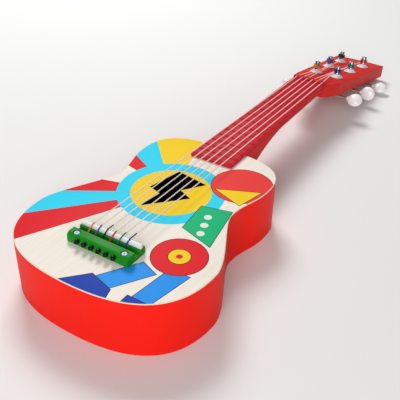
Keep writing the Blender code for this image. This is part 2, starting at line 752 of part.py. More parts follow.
def rounded(path, radius, steps=2):
    """The same path with each inner corner as an arc of the radius."""
    result = [path[0]]
    for before, corner, after in zip(path, path[1:], path[2:]):
        back, ahead = (before - corner).normalized(), (after - corner).normalized()
        bend = math.pi - back.angle(ahead)
        cut = radius * math.tan(bend / 2)
        first, last = corner + back * cut, corner + ahead * cut
        for i in range(steps + 1):
            t = i / steps
            a = first.lerp(corner, t)
            b = corner.lerp(last, t)
            result.append(a.lerp(b, t))
    result.append(path[-1])
    return result


def touching_point(start, centre, radius, turn):
    """Where a line from start touches a circle that it then follows; turn is +1 leftwards."""
    offset = centre - start
    lean = math.asin(radius / offset.length)
    direction = Matrix.Rotation(-turn * lean, 2) @ offset.normalized()
    return start + direction * math.sqrt(offset.length_squared - radius ** 2)


def wrap_points(centre, contact, turn):
    """Turns round the post from the contact, then a hook that ends square to the post's bore."""
    first = math.atan2(contact.y - centre.y, contact.x - centre.x)
    entry = POST_RADIUS + RUN_GAP
    outer = entry + 2 * STRING_RADIUS + HOOK_RADIUS
    points = []
    for i in range(WRAP_STEPS + HOOK_SWING + 1):
        # past the last turn the end swings out to leave room for the hook
        t = max(0, i - WRAP_STEPS) / HOOK_SWING
        radius = WRAP_RADIUS + (outer - WRAP_RADIUS) * t * t * (3 - 2 * t)
        angle = first + turn * 2 * math.pi * i / WRAP_SEGMENTS
        height = WRAP_START + WRAP_PITCH * i / WRAP_SEGMENTS
        points.append(Vector((centre.x + radius * math.cos(angle),
                              centre.y + radius * math.sin(angle), height)))
    inward = Vector((-math.cos(angle), -math.sin(angle), 0))
    onward = Vector((-math.sin(angle), math.cos(angle), 0)) * turn
    pivot = points[-1] + inward * HOOK_RADIUS
    for i in range(1, 4):
        bend = math.pi / 2 * i / 3
        points.append(pivot + HOOK_RADIUS * (math.sin(bend) * onward - math.cos(bend) * inward))
    to_axis = Vector((centre.x, centre.y, WRAP_END)) - points[-1]
    toward = to_axis.normalized()
    points.append(points[-1] + toward * (to_axis.length - entry))
    return points, toward


def string_path(index):
    """From past the ball, through the block, over saddle and nut, to the turns on the post."""
    side_name, row = STRING_MACHINES[index].split("_")
    side, row = SIDES[side_name], int(row)
    share = string_share(index)
    reach = math.sqrt(BALL[0] ** 2 - BALL[1] ** 2)
    tail = string_on_block(index, BRIDGE_TAIL - JOINT_GAP - 2 * reach - STRING_STUB)
    leave = string_on_block(index, BLOCK_FACE + STRING_LEAVE)
    saddle = Vector((STRING_AT_SADDLE[0] * share, SADDLE_STATION, TOP + STRING_AT_SADDLE[1]))
    nut = Vector((STRING_AT_NUT[0] * share, NUT_STATION - NUT_LENGTH / 2,
                  BOARD_TOP + STRING_AT_NUT[1]))
    to_head = HEAD_FRAME.inverted()
    nut_flat = (to_head @ nut).to_2d()
    centre = post_place(row, side)
    turn = -side
    stations = [nut_flat]
    if row > 1:
        # the string passes the nearer post just clear of its turns
        near = post_place(1, side)
        clear = near.x - side * (WRAP_RADIUS + 2 * STRING_RADIUS + RUN_GAP)
        straight = touching_point(nut_flat, centre, WRAP_RADIUS, turn)
        share_there = (near.y - nut_flat.y) / (straight.y - nut_flat.y)
        passing = nut_flat.x + (straight.x - nut_flat.x) * share_there
        if side * passing > side * clear:
            stations.append(Vector((clear, near.y)))
    contact = touching_point(stations[-1], centre, WRAP_RADIUS, turn)
    lead = []
    nut_height = (to_head @ nut).z
    for spot in stations[1:]:
        rise = (spot.y - nut_flat.y) / (contact.y - nut_flat.y)
        lead.append(Vector((*spot, nut_height + (WRAP_START - nut_height) * rise)))
    wrap, toward = wrap_points(centre, contact, turn)
    route = [tail, leave, saddle, nut, *(HEAD_FRAME @ p for p in lead), HEAD_FRAME @ wrap[0]]
    return rounded(route, BEND_RADIUS) + [HEAD_FRAME @ p for p in wrap[1:]], toward


def least_gap(points, radius):
    """Least gap between a tube and itself, left out where it is nearer than half a turn."""
    apart = WRAP_SEGMENTS // 2
    least = math.inf
    for i, a in enumerate(points):
        for b in points[i + apart:]:
            least = min(least, (a - b).length)
    return least - 2 * radius


def make_strings(guitar):
    """Six unbroken strings; returns the way each end points, for the bore in its post."""
    ends = {}
    for index in range(6):
        name = f"string_{index + 1}"
        points, toward = string_path(index)
        gap = least_gap(points, STRING_RADIUS)
        print(f"{name}: least gap to itself {gap * 1000:.2f} mm")
        piece(name, tube_curve(name, points, STRING_RADIUS), "nylon", guitar)
        ends[STRING_MACHINES[index]] = toward
    return ends


# Tuning machines: local z is the post's axis, or the key's axis pointing outwards

def gear_mesh(name, hand):
    """Worm wheel with teeth that lean by the worm's lead, a gap facing the worm."""
    lean = hand * (WORM_LEAD / (2 * math.pi * WORM_PITCH_RADIUS)) / GEAR_RADIUS
    half_pitch = math.pi * GEAR_MODULE / 4 - GEAR_BACKLASH
    slope = math.tan(PRESSURE)
    tooth = [
        (GEAR_RADIUS - GEAR_DEDENDUM, -half_pitch - GEAR_DEDENDUM * slope),
        (GEAR_RADIUS + GEAR_ADDENDUM, -half_pitch + GEAR_ADDENDUM * slope),
        (GEAR_RADIUS + GEAR_ADDENDUM, half_pitch - GEAR_ADDENDUM * slope),
        (GEAR_RADIUS - GEAR_DEDENDUM, half_pitch + GEAR_DEDENDUM * slope),
    ]
    sections = []
    for height in (-GEAR_FACE / 2, GEAR_FACE / 2):
        ring = []
        for k in range(GEAR_TEETH):
            middle = -math.pi / 2 + (k + 0.5) * 2 * math.pi / GEAR_TEETH + lean * height
            for radius, offset in tooth:
                angle = middle + offset / radius
                ring.append((radius * math.cos(angle), radius * math.sin(angle),
                             WORM_LEVEL + height))
        sections.append(ring)
    return lofted(name, sections)


def post_mesh(name, hand, toward):
    """Post with its wheel and end screw in one, and the cross bore for the string's end."""
    gear_low = WORM_LEVEL - GEAR_FACE / 2
    cap_radius, cap_height = CAP_SCREW
    profile = [
        (0, POST_TOP), (POST_RADIUS - POST_CHAMFER, POST_TOP), (POST_RADIUS, POST_TOP - POST_CHAMFER),
        (POST_RADIUS, PLATE_UNDER - RUN_GAP), (SHOULDER_RADIUS, PLATE_UNDER - RUN_GAP),
        (SHOULDER_RADIUS, WORM_LEVEL), (cap_radius, WORM_LEVEL), (cap_radius, gear_low - cap_height),
        (0, gear_low - cap_height),
    ]
    post = turned_helper(name, profile, 12)
    gear = helper(name + "_gear", gear_mesh(name + "_gear", hand))
    boolean(post, "UNION", gear)
    bore = helper(name + "_bore", cylinders_mesh(
        name + "_bore", [(0, 0)], STRING_BORE, -POST_RADIUS * 2, POST_RADIUS * 2, 8))
    bore.rotation_euler = toward.to_track_quat("Z", "X").to_euler()
    bore.location = (0, 0, WRAP_END)
    boolean(post, "DIFFERENCE", bore)
    return smooth(baked(post, name, gear, bore))


def bush_mesh(name):
    """Pressed-in bush: flange, round hub and sleeve, with the bore for the post."""
    flange_radius, flange = BUSH_FLANGE
    hub_radius, mouth = BUSH_HUB
    low = JOINT_GAP
    lip = POST_BORE + BUSH_WALL / 2
    inwards, down = BUSH_EDGE
    outside = [
        (POST_BORE, mouth), (lip, mouth), (hub_radius, low + flange + BUSH_FOOT),
        (flange_radius - inwards, low + flange), (flange_radius, low + flange - down),
        (flange_radius, low), (BUSH_SLEEVE, low), (BUSH_SLEEVE, -BUSH_DEPTH),
        (POST_BORE, -BUSH_DEPTH),
    ]
    return smooth(baked(turned_helper(name, ring_profile(outside), 12), name))


def worm_shaft_mesh(name, hand):
    """Shaft, two collars and the worm in one skin; a crest faces the wheel at the middle.

    The skin is a grid of columns round the axis. Between the collars the rows follow the
    thread, so a column's rows climb by one lead in a full turn, and they are held to the
    thread's two ends, where it runs out into the core.
    """
    face = LUG_INNER - RUN_GAP
    collar_radius, collar = COLLAR
    core = WORM_PITCH_RADIUS - GEAR_DEDENDUM
    end = WORM_LENGTH / 2
    half_pitch = math.pi * GEAR_MODULE / 4 - GEAR_BACKLASH
    slope = math.tan(PRESSURE)
    foot = half_pitch + GEAR_DEDENDUM * slope
    crest = half_pitch - GEAR_ADDENDUM * slope
    thread = [(-foot, core), (-crest, WORM_TIP), (crest, WORM_TIP), (foot, core)]
    before = [(-LUG_OUTER - SHAFT_TAIL, SHAFT_RADIUS), (-face, SHAFT_RADIUS), (-face, collar_radius),
              (collar - face, collar_radius), (collar - face, core)]
    after = [(face - collar, core), (face - collar, collar_radius), (face, collar_radius),
             (face, SHAFT_RADIUS), (BUTTON_REACH + SHAFT_HEAD, SHAFT_RADIUS)]
    reach = math.ceil(end / WORM_LEAD) + 1
    work = bmesh.new()
    columns = []
    for i in range(WORM_SEGMENTS + 1):
        rows = list(before)
        for k in range(-reach, reach + 1):
            middle = WORM_LEAD * (k + i / WORM_SEGMENTS)
            for offset, radius in thread:
                height = middle + offset
                rows.append((height, radius) if abs(height) < end else
                            (math.copysign(end, height), core))
        rows += after
        angle = math.pi / 2 + hand * 2 * math.pi * i / WORM_SEGMENTS
        columns.append([work.verts.new((radius * math.cos(angle), radius * math.sin(angle), height))
                        for height, radius in rows])
    for column, following in zip(columns, columns[1:]):
        for i in range(len(column) - 1):
            work.faces.new((column[i], following[i], following[i + 1], column[i + 1]))
    for row in (0, -1):
        work.faces.new([column[row] for column in columns[:-1]])
    bmesh.ops.remove_doubles(work, verts=work.verts, dist=MERGE)
    bmesh.ops.recalc_face_normals(work, faces=work.faces)
    mesh = bpy.data.meshes.new(name)
    work.to_mesh(mesh)
    work.free()
    return smooth(mesh)


def button_mesh(name):
    """Oval pearly grip with a round neck and a blind bore for the shaft."""
    length, width, thickness = BUTTON
    neck_radius, root_radius, neck_start = BUTTON_NECK
    work = bmesh.new()
    bmesh.ops.create_uvsphere(work, u_segments=12, v_segments=7, radius=0.5)
    bmesh.ops.scale(work, vec=(thickness, width, length), verts=work.verts)
    mesh = bpy.data.meshes.new(name)
    work.to_mesh(mesh)
    work.free()
    grip = helper(name, mesh)
    grip.location = (0, 0, BUTTON_REACH)
    neck = turned_helper(name + "_neck", [
        (0, BUTTON_REACH), (root_radius, BUTTON_REACH),
        (neck_radius, BUTTON_REACH - neck_start), (0, BUTTON_REACH - neck_start)], 10)
    boolean(grip, "UNION", neck)
    bore = helper(name + "_bore", cylinders_mesh(
        name + "_bore", [(0, 0)], SHAFT_RADIUS + JOINT_GAP,
        BUTTON_REACH - neck_start - CUT_OVER, BUTTON_REACH + SHAFT_HEAD + JOINT_GAP,
        WORM_SEGMENTS))
    boolean(grip, "DIFFERENCE", bore)
    return smooth(baked(grip, name, neck, bore))


def machine_plate_mesh(name):
    """Stamped plate with a hole for the post and two lugs bent down to carry the shaft."""
    top = HEAD_UNDER - JOINT_GAP
    lug_half, lug_thickness = LUG
    tail = -GEAR_CENTRES - lug_half - MACHINE_PLATE_MARGIN
    plate = helper(name, box_mesh(
        name, (-MACHINE_PLATE_HALF, tail, PLATE_UNDER),
        (MACHINE_PLATE_HALF, MACHINE_PLATE_HEEL, top)))
    corners = plate.modifiers.new("corners", "BEVEL")
    corners.width = MACHINE_PLATE_CORNER
    corners.segments = 1
    corners.limit_method = "WEIGHT"
    weights = plate.data.attributes.new("bevel_weight_edge", "FLOAT", "EDGE")
    for edge in plate.data.edges:
        a, b = (plate.data.vertices[i].co for i in edge.vertices)
        weights.data[edge.index].value = 1.0 if abs(a.z - b.z) > MACHINE_PLATE / 2 else 0.0
    root = PLATE_UNDER + MACHINE_PLATE / 2
    rounding = [Vector((-lug_half, root)), Vector((lug_half, root))]
    for i in range(4):
        angle = -math.pi * i / 3
        rounding.append(Vector((lug_half * math.cos(angle), WORM_LEVEL + LUG_DROP * math.sin(angle))))
    used = []
    for place in (-LUG_OFFSET, LUG_OFFSET):
        lug = helper(name + "_lug", lofted(name + "_lug", [
            [(place + end * lug_thickness / 2, p.x - GEAR_CENTRES, p.y) for p in rounding]
            for end in (-1, 1)]))
        boolean(plate, "UNION", lug)
        used.append(lug)
    hole = helper(name + "_hole", cylinders_mesh(
        name + "_hole", [(0, 0)], POST_BORE, PLATE_UNDER - CUT_OVER, top + CUT_OVER, 12))
    bearing = helper(name + "_bearing", cylinders_mesh(
        name + "_bearing", [(0, 0)], SHAFT_RADIUS + RUN_GAP, -LUG_OUTER - CUT_OVER,
        LUG_OUTER + CUT_OVER, 10))
    bearing.rotation_euler = (0, math.radians(90), 0)
    bearing.location = (0, -GEAR_CENTRES, WORM_LEVEL)
    for cutter in (hole, bearing):
        boolean(plate, "DIFFERENCE", cutter)
        used.append(cutter)
    return baked(plate, name, *used)


def make_machines(guitar, string_ends):
    head = empty("head_frame", guitar, HEAD_ORIGIN, (-HEAD_TILT, 0, 0))
    bush, plate, button = bush_mesh("bush"), machine_plate_mesh("machine_plate"), button_mesh("button")
    for side_name, side in SIDES.items():
        shaft = worm_shaft_mesh("worm_shaft_" + side_name, side)
        for row in ROWS:
            label = f"{side_name}_{row}"
            place = post_place(row, side)
            spot = (place.x, place.y, 0)
            piece("post_bush_" + label, bush, "white", head, spot)
            post = post_mesh("string_post_" + label, side, string_ends[label])
            piece("string_post_" + label, post, "chrome", head, spot)
            piece("machine_plate_" + label, plate, "steel", head, spot)
            axis_spot = (place.x, place.y - GEAR_CENTRES, WORM_LEVEL)
            key = empty("key_axis_" + label, head, axis_spot, (0, side * math.pi / 2, 0))
            piece("worm_shaft_" + label, shaft, "steel", key)
            turn = math.radians(BUTTON_TURNS[label])
            piece("key_button_" + label, button, "pearl", key, (0, 0, 0), (0, 0, turn))


clear_scene()
PARTS = collection("guitar")
CUTTERS = collection("cutters")


def main():
    guitar = empty("guitar", None, (0, -LOWER_BOUT[1], 0))
    make_plates(guitar)
    make_ribs(guitar)
    make_blocks(guitar)
    make_braces(guitar)
    make_neck(guitar)
    make_fretboard(guitar)
    make_nut(guitar)
    make_bridge(guitar)
    make_saddle(guitar)
    make_bridge_screws(guitar)
    make_balls(guitar)
    string_ends = make_strings(guitar)
    make_machines(guitar, string_ends)


main()
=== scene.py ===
"""Fine shapes and finishes of a small six-string guitar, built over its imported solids.

Lengths are in metres in the solids' frame: the flat back lies on z = 0, +Y runs to the head and
+X is the side of the thin strings. Shapes on the head are made in its own tilted frame, with y
from the nut and z up from its face, and are then placed by one matrix.
"""

import json
import logging
import math
from dataclasses import dataclass
from enum import Enum
from typing import Callable

import bmesh
import bpy
from bmesh.types import BMEdge, BMesh, BMFace, BMVert
from bpy.types import Material, Mesh, Node, NodeSocket, NodeTree, Object
from mathutils import Euler, Matrix, Vector

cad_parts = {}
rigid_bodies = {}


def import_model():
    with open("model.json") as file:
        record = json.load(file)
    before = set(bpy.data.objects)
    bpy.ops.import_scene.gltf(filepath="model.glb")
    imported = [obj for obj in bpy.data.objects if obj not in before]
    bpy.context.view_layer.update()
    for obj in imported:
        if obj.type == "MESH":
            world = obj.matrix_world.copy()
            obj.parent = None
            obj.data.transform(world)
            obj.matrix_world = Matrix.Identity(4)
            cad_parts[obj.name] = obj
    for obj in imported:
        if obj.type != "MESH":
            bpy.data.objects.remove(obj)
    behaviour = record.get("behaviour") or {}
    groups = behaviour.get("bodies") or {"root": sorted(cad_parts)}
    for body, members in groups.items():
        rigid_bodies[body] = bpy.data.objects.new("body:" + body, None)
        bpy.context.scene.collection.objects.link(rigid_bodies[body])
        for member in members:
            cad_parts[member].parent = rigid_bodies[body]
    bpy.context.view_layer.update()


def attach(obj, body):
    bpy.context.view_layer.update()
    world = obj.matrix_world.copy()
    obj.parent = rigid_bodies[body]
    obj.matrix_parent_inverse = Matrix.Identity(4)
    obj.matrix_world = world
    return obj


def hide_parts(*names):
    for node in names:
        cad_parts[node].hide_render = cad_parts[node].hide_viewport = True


LOG = logging.getLogger("guitar")
Pair = tuple[float, float]
Triple = tuple[float, float, float]
Colour = Triple
Profile = list[Pair]
ROOT = "guitar"
TOUCH = 0.00002                    # between faces that meet
GAP = 0.0003                       # between pieces that are set together
CUT_OVER = 0.001                   # how far a cutter runs past the face it opens
WELD = 1e-6                        # points closer than this are one
TOP_FACE = 0.0466                  # the soundboard's upper face
HEAD_THICKNESS = 0.0135
BRIDGE_SCREWS = (0.0208, -0.0233)  # from the middle line, and along the body
BRIDGE_TAIL = -0.0275              # the bridge's face that the beads bear on
BORE_LEVEL = 0.0519                # the axes of the bridge's string bores
BORE_SPREAD = 0.0158               # the outer bores, from the middle line
BEAD_RADIUS, BEAD_BORE = 0.0019, 0.0008
BEAD_REACH = math.sqrt(BEAD_RADIUS ** 2 - BEAD_BORE ** 2)  # a bead's middle to its bore's mouth
POST_FIRST, POST_PITCH = 0.0464, 0.0420    # the rows of posts, from the nut
POST_HALF, POST_FAN = 0.0123, 0.00095      # from the middle line, and more by each row
POST_RADIUS = 0.0030
ROWS = (1, 2, 3)
STRING_MACHINES = ("left_1", "left_2", "left_3", "right_3", "right_2", "right_1")


class Side(Enum):
    """The bass and the treble side of the guitar."""

    LEFT = -1
    RIGHT = 1


class Slot(Enum):
    """The record's material slots."""

    BIRCH = "birch_plywood"
    PAINT = "orange_paint"
    SPRUCE = "bare_spruce"
    BOARD = "crimson_moulding"
    BRIDGE = "green_moulding"
    WHITE = "white_plastic"
    PEARL = "pearl_plastic"
    BLACK = "black_plastic"
    NYLON = "nylon"
    CHROME = "chrome"
    ZINC = "zinc_steel"


def post_places() -> dict[str, Vector]:
    """Each post's axis on the head's face, by machine."""
    return {
        f"{side.name.lower()}_{row}": Vector((
            side.value * (POST_HALF + (row - 1) * POST_FAN), POST_FIRST + (row - 1) * POST_PITCH))
        for side in Side for row in ROWS}


def hand_of(label: str) -> int:
    """-1 for a machine of the bass side, +1 for one of the treble side."""
    return Side[label.split("_")[0].upper()].value


def string_share(index: int) -> float:
    """Where a string lies across the guitar, from -1 on the bass side to 1."""
    middle = (len(STRING_MACHINES) - 1) / 2
    return (index - middle) / middle


def spaced(span: float, steps: int) -> list[float]:
    """Even steps from 0 to a span, with both ends."""
    return [span * i / steps for i in range(steps + 1)]


def turns(steps: int) -> list[float]:
    """Even steps round a full turn, in radians."""
    return spaced(2 * math.pi, steps)[:-1]


# Nodes and groups

class Bench:
    """Adds nodes to one tree and joins them."""

    def __init__(self, tree: NodeTree) -> None:
        """Keeps the tree.

        Args:
            tree: The shader or geometry tree to work on.
        """
        self.tree = tree

    def add(self, kind: str, inputs: dict | None = None, **settings: object) -> Node:
        """Adds one node.

        Args:
            kind: The node's type name.
            inputs: Values or sockets for its inputs, by name or number.
            **settings: Properties of the node.

        Returns:
            The new node.
        """
        node = self.tree.nodes.new(kind)
        for name, value in settings.items():
            setattr(node, name, value)
        self.feed(node, inputs or {})
        return node

    def feed(self, node: Node, inputs: dict) -> None:
        """Links or sets a node's inputs.

        Args:
            node: The node.
            inputs: Values or sockets, by the input's name or number.
        """
        for key, value in inputs.items():
            if isinstance(value, NodeSocket):
                self.tree.links.new(value, node.inputs[key])
            else:
                node.inputs[key].default_value = value

    def math(self, operation: str, *values: object) -> NodeSocket:
        """Adds a Math node and returns its result."""
        return self.add("ShaderNodeMath", dict(enumerate(values)), operation=operation).outputs[0]

    def vector(self, operation: str, *values: object) -> NodeSocket:
        """Adds a Vector Math node and returns its vector."""
        inputs = dict(enumerate(values))
        return self.add("ShaderNodeVectorMath", inputs, operation=operation).outputs[0]

    def noise(self, vector: object, scale: object, detail: float = 3.0) -> NodeSocket:
        """Adds a Noise Texture and returns its value, about 0.5 on the average."""
        node = self.add("ShaderNodeTexNoise", {"Vector": vector, "Scale": scale, "Detail": detail})
        return node.outputs[0]

    def mix(self, factor: object, first: object, second: object) -> NodeSocket:
        """Mixes two colours and returns the result."""
        node = self.add("ShaderNodeMix", {0: factor, 6: first, 7: second}, data_type="RGBA")
        return node.outputs[2]

    def use(self, group: NodeTree, inputs: dict, label: str = "") -> Node:
        """Places a node group of the same kind as this tree.

        Args:
            group: The group.
            inputs: Values or sockets for its inputs, by name.
            label: What the copy is for.

        Returns:
            The group node.
        """
        kind = "GeometryNodeGroup" if group.bl_idname == "GeometryNodeTree" else "ShaderNodeGroup"
        node = self.add(kind, label=label)
        node.node_tree = group
        self.feed(node, inputs)
        return node


def opaque(colour: Colour) -> tuple[float, ...]:
    """Gives a colour its alpha."""
    return (*colour, 1.0)


def new_group(
    name: str, kind: str, inputs: dict[str, tuple[str, object]], outputs: dict[str, str]
) -> tuple[Bench, Node, Node]:
    """Starts a node group with named sockets.

    Args:
        name: The group's name.
        kind: ShaderNodeTree or GeometryNodeTree.
        inputs: Socket type and default value by name; no default where it is None.
        outputs: Socket type by name.

    Returns:
        The bench for its tree, its input node and its output node.
    """
    tree = bpy.data.node_groups.new(name, kind)
    for label, (socket_type, default) in inputs.items():
        socket = tree.interface.new_socket(name=label, in_out="INPUT", socket_type=socket_type)
        if default is not None:
            socket.default_value = default
    for label, socket_type in outputs.items():
        tree.interface.new_socket(name=label, in_out="OUTPUT", socket_type=socket_type)
    bench = Bench(tree)
    return bench, bench.add("NodeGroupInput"), bench.add("NodeGroupOutput")


NUMBER, VECTOR, COLOUR = "NodeSocketFloat", "NodeSocketVector", "NodeSocketColor"
MILLIMETRES = 1000.0               # in a metre
FAR_INSIDE = -1000.0               # below any distance from an edge, to start with


class Effects:
    """The shader groups that several finishes share, and the materials, each built once."""

    def __init__(self) -> None:
        """Builds every group."""
        self.materials: dict[Finish, Material] = {}
        self.grain = self._wood_grain()
        self.touch = self._surface_touch()
        self.ink_edge = self._ink_edge()
        self.ink_disc = self._ink_disc()
        self.ink_layer = self._ink_layer()

    @staticmethod
    def _wood_grain() -> NodeTree:
        """Fibres and broad figure drawn out along Y, as a colour and a height."""
        bench, source, target = new_group(
            "wood_grain", "ShaderNodeTree",
            {"Position": (VECTOR, None), "Pale": (COLOUR, None), "Dark": (COLOUR, None),
             "Fineness": (NUMBER, 700.0), "Strength": (NUMBER, 0.3)},
            {"Color": COLOUR, "Height": NUMBER})
        take = source.outputs
        waver_scale, waver_depth, drawn_out, broad_share = 9.0, 0.012, (1.0, 0.035, 1.0), 0.12
        waver = bench.noise(take["Position"], waver_scale, 1.0)
        lean = bench.math("MULTIPLY", waver, waver_depth)
        bent = bench.vector("ADD", take["Position"], bench.add(
            "ShaderNodeCombineXYZ", {"X": lean}).outputs[0])
        drawn = bench.vector("MULTIPLY", bent, drawn_out)
        fibres = bench.noise(drawn, take["Fineness"], 4.0)
        broad = bench.noise(drawn, bench.math("MULTIPLY", take["Fineness"], broad_share), 2.0)
        sharp = bench.math("SMOOTH_MIN", bench.math("MAXIMUM", bench.math(
            "MULTIPLY_ADD", fibres, 2.6, -0.9), 0.0), 1.0, 0.2)
        figure = bench.math("MULTIPLY_ADD", broad, 0.9, -0.25)
        streaks = bench.math("MULTIPLY", bench.math("ADD", sharp, figure), take["Strength"])
        tint = bench.mix(streaks, take["Pale"], take["Dark"])
        bench.feed(target, {"Color": tint, "Height": fibres})
        return bench.tree

    @staticmethod
    def _surface_touch() -> NodeTree:
        """Handling smudges in the gloss and a fine skin, for lacquer, mouldings and metal."""
        bench, source, target = new_group(
            "surface_touch", "ShaderNodeTree",
            {"Position": (VECTOR, None), "Gloss": (NUMBER, 0.35), "Spread": (NUMBER, 0.1),
             "Fineness": (NUMBER, 1500.0)},
            {"Roughness": NUMBER, "Height": NUMBER})
        take = source.outputs
        smudge_scale, average = 45.0, 0.5
        smudge = bench.math("SUBTRACT", bench.noise(take["Position"], smudge_scale), average)
        gloss = bench.math("MULTIPLY_ADD", smudge, take["Spread"], take["Gloss"])
        skin = bench.noise(take["Position"], take["Fineness"], 2.0)
        bench.feed(target, {"Roughness": gloss, "Height": skin})
        return bench.tree

    @staticmethod
    def _ink_edge() -> NodeTree:
        """One straight edge of a patch: how far a point lies outside it, or outside the rest."""
        bench, source, target = new_group(
            "ink_edge", "ShaderNodeTree",
            {"Point": (VECTOR, None), "Outside": (NUMBER, FAR_INSIDE), "Normal": (VECTOR, None),
             "Offset": (NUMBER, 0.0)},
            {"Outside": NUMBER})
        take = source.outputs
        dot = bench.add("ShaderNodeVectorMath", {0: take["Point"], 1: take["Normal"]},
                        operation="DOT_PRODUCT").outputs["Value"]
        beyond = bench.math("SUBTRACT", dot, take["Offset"])
        worst = bench.math("MAXIMUM", beyond, take["Outside"])
        bench.feed(target, {"Outside": worst})
        return bench.tree

    @staticmethod
    def _ink_disc() -> NodeTree:
        """How far a point lies outside a disc."""
        bench, source, target = new_group(
            "ink_disc", "ShaderNodeTree",
            {"Point": (VECTOR, None), "Centre": (VECTOR, None), "Radius": (NUMBER, 10.0)},
            {"Outside": NUMBER})
        take = source.outputs
        reach = bench.add("ShaderNodeVectorMath", {0: take["Point"], 1: take["Centre"]},
                          operation="DISTANCE").outputs["Value"]
        beyond = bench.math("SUBTRACT", reach, take["Radius"])
        bench.feed(target, {"Outside": beyond})
        return bench.tree

    @staticmethod
    def _ink_layer() -> NodeTree:
        """Lays one ink over what is below it, with a dark line round it where it has one."""
        bench, source, target = new_group(
            "ink_layer", "ShaderNodeTree",
            {"Below": (COLOUR, None), "Covered": (NUMBER, 0.0), "Ink": (COLOUR, None),
             "Line": (COLOUR, None), "Line Width": (NUMBER, 0.0), "Outside": (NUMBER, 1.0)},
            {"Color": COLOUR, "Covered": NUMBER})
        take = source.outputs
        inside = bench.math("LESS_THAN", take["Outside"], 0.0)
        filled = bench.mix(inside, take["Below"], take["Ink"])
        half_line = bench.math("MULTIPLY", take["Line Width"], 0.5)
        on_line = bench.math("LESS_THAN", bench.math("ABSOLUTE", take["Outside"]), half_line)
        drawn = bench.mix(on_line, filled, take["Line"])
        covered = bench.math("MAXIMUM", take["Covered"], bench.math("MAXIMUM", inside, on_line))
        bench.feed(target, {"Color": drawn, "Covered": covered})
        return bench.tree


# Finishes

def blank_material(
    name: str,
) -> tuple[Material, Bench, Node, NodeSocket]:
    """Makes a material that is still without its texture.

    Args:
        name: The material's name.

    Returns:
        The material, its bench, its shader and the Object coordinates.
    """
    material = bpy.data.materials.new(name)
    material.use_nodes = True
    bench = Bench(material.node_tree)
    shader = material.node_tree.nodes["Principled BSDF"]
    return material, bench, shader, bench.add("ShaderNodeTexCoord").outputs["Object"]


@dataclass(frozen=True)
class Finish:
    """What every finish has: a name, and the record's slot that it stands for."""

    name: str
    slot: Slot

    def build(self, effects: Effects) -> Material:
        """Makes the material; each kind of finish does it in its own way."""
        raise NotImplementedError


def bump(bench: Bench, shader: Node, height: NodeSocket, depth: float) -> None:
    """Feeds a height to the shader's normal.

    Args:
        bench: The material's bench.
        shader: The shader.
        height: The height, from 0 to 1.
        depth: The depth that 1 stands for, in metres.
    """
    node = bench.add("ShaderNodeBump", {"Height": height, "Strength": 1.0, "Distance": depth})
    bench.feed(shader, {"Normal": node.outputs[0]})


@dataclass(frozen=True)
class SmoothFinish(Finish):
    """Lacquer or moulded plastic: two close tints in clouds under a slightly uneven gloss."""

    colour: Colour
    shade: Colour
    gloss: float = 0.35
    spread: float = 0.12
    fineness: float = 1500.0
    skin: float = 0.000004  # its depth
    cloud_scale: float = 14.0
    cloud_detail: float = 2.0
    cloud_warp: float = 0.0
    cloud: Pair = (1.4, -0.2)  # contrast, and what is added
    specular: float = 0.18
    metallic: float = 0.0
    coat: Pair = (0.0, 0.03)  # weight, roughness

    def build(self, effects: Effects) -> Material:
        """Makes the material from the shared touch group."""
        material, bench, shader, position = blank_material(self.name)
        noise = bench.add("ShaderNodeTexNoise", {
            "Vector": position, "Scale": self.cloud_scale, "Detail": self.cloud_detail,
            "Distortion": self.cloud_warp}).outputs[0]
        tint = bench.mix(bench.math("MULTIPLY_ADD", noise, *self.cloud),
                         opaque(self.colour), opaque(self.shade))
        touch = bench.use(effects.touch, {
            "Position": position, "Gloss": self.gloss, "Spread": self.spread,
            "Fineness": self.fineness})
        bench.feed(shader, {
            "Base Color": tint, "Roughness": touch.outputs["Roughness"],
            "Specular IOR Level": self.specular, "Metallic": self.metallic,
            "Coat Weight": self.coat[0], "Coat Roughness": self.coat[1]})
        bump(bench, shader, touch.outputs["Height"], self.skin)
        return material


@dataclass(frozen=True)
class MetalFinish(SmoothFinish):
    """Plated metal with faint drawn marks."""

    spread: float = 0.18
    fineness: float = 2600.0
    skin: float = 0.000002
    cloud_scale: float = 160.0
    cloud_detail: float = 3.0
    cloud: Pair = (1.0, 0.0)
    specular: float = 0.5
    metallic: float = 1.0


@dataclass(frozen=True)
class PearlFinish(SmoothFinish):
    """Pearly plastic: cloudy swirls of two whites under a clear gloss."""

    gloss: float = 0.2
    spread: float = 0.1
    fineness: float = 900.0
    cloud_scale: float = 90.0
    cloud_detail: float = 3.0
    cloud_warp: float = 1.6
    cloud: Pair = (2.4, -0.75)
    specular: float = 0.5
    coat: Pair = (0.5, 0.06)


@dataclass(frozen=True)
class WoodFinish(Finish):
    """Bare or lacquered wood with its grain along the guitar."""

    pale: Colour
    dark: Colour
    strength: float = 0.35
    gloss: float = 0.55
    fineness: float = 700.0
    relief: float = 0.00001  # depth of the grain
    specular: float = 0.25

    def printed(
        self, bench: Bench, effects: Effects, position: NodeSocket, wood: NodeSocket
    ) -> tuple[NodeSocket, object]:
        """What lies on the wood: nothing, unless a kind of finish adds it.

        Args:
            bench: The material's bench.
            effects: The shared groups.
            position: The Object coordinates.
            wood: The wood's colour.

        Returns:
            The colour and the roughness.
        """
        return wood, self.gloss

    def build(self, effects: Effects) -> Material:
        """Makes the material from the shared grain group."""
        material, bench, shader, position = blank_material(self.name)
        grain = bench.use(effects.grain, {
            "Position": position, "Pale": opaque(self.pale), "Dark": opaque(self.dark),
            "Strength": self.strength, "Fineness": self.fineness})
        tint, gloss = self.printed(bench, effects, position, grain.outputs["Color"])
        bench.feed(shader, {"Base Color": tint, "Roughness": gloss,
                            "Specular IOR Level": self.specular})
        bump(bench, shader, grain.outputs["Height"], self.relief)
        return material


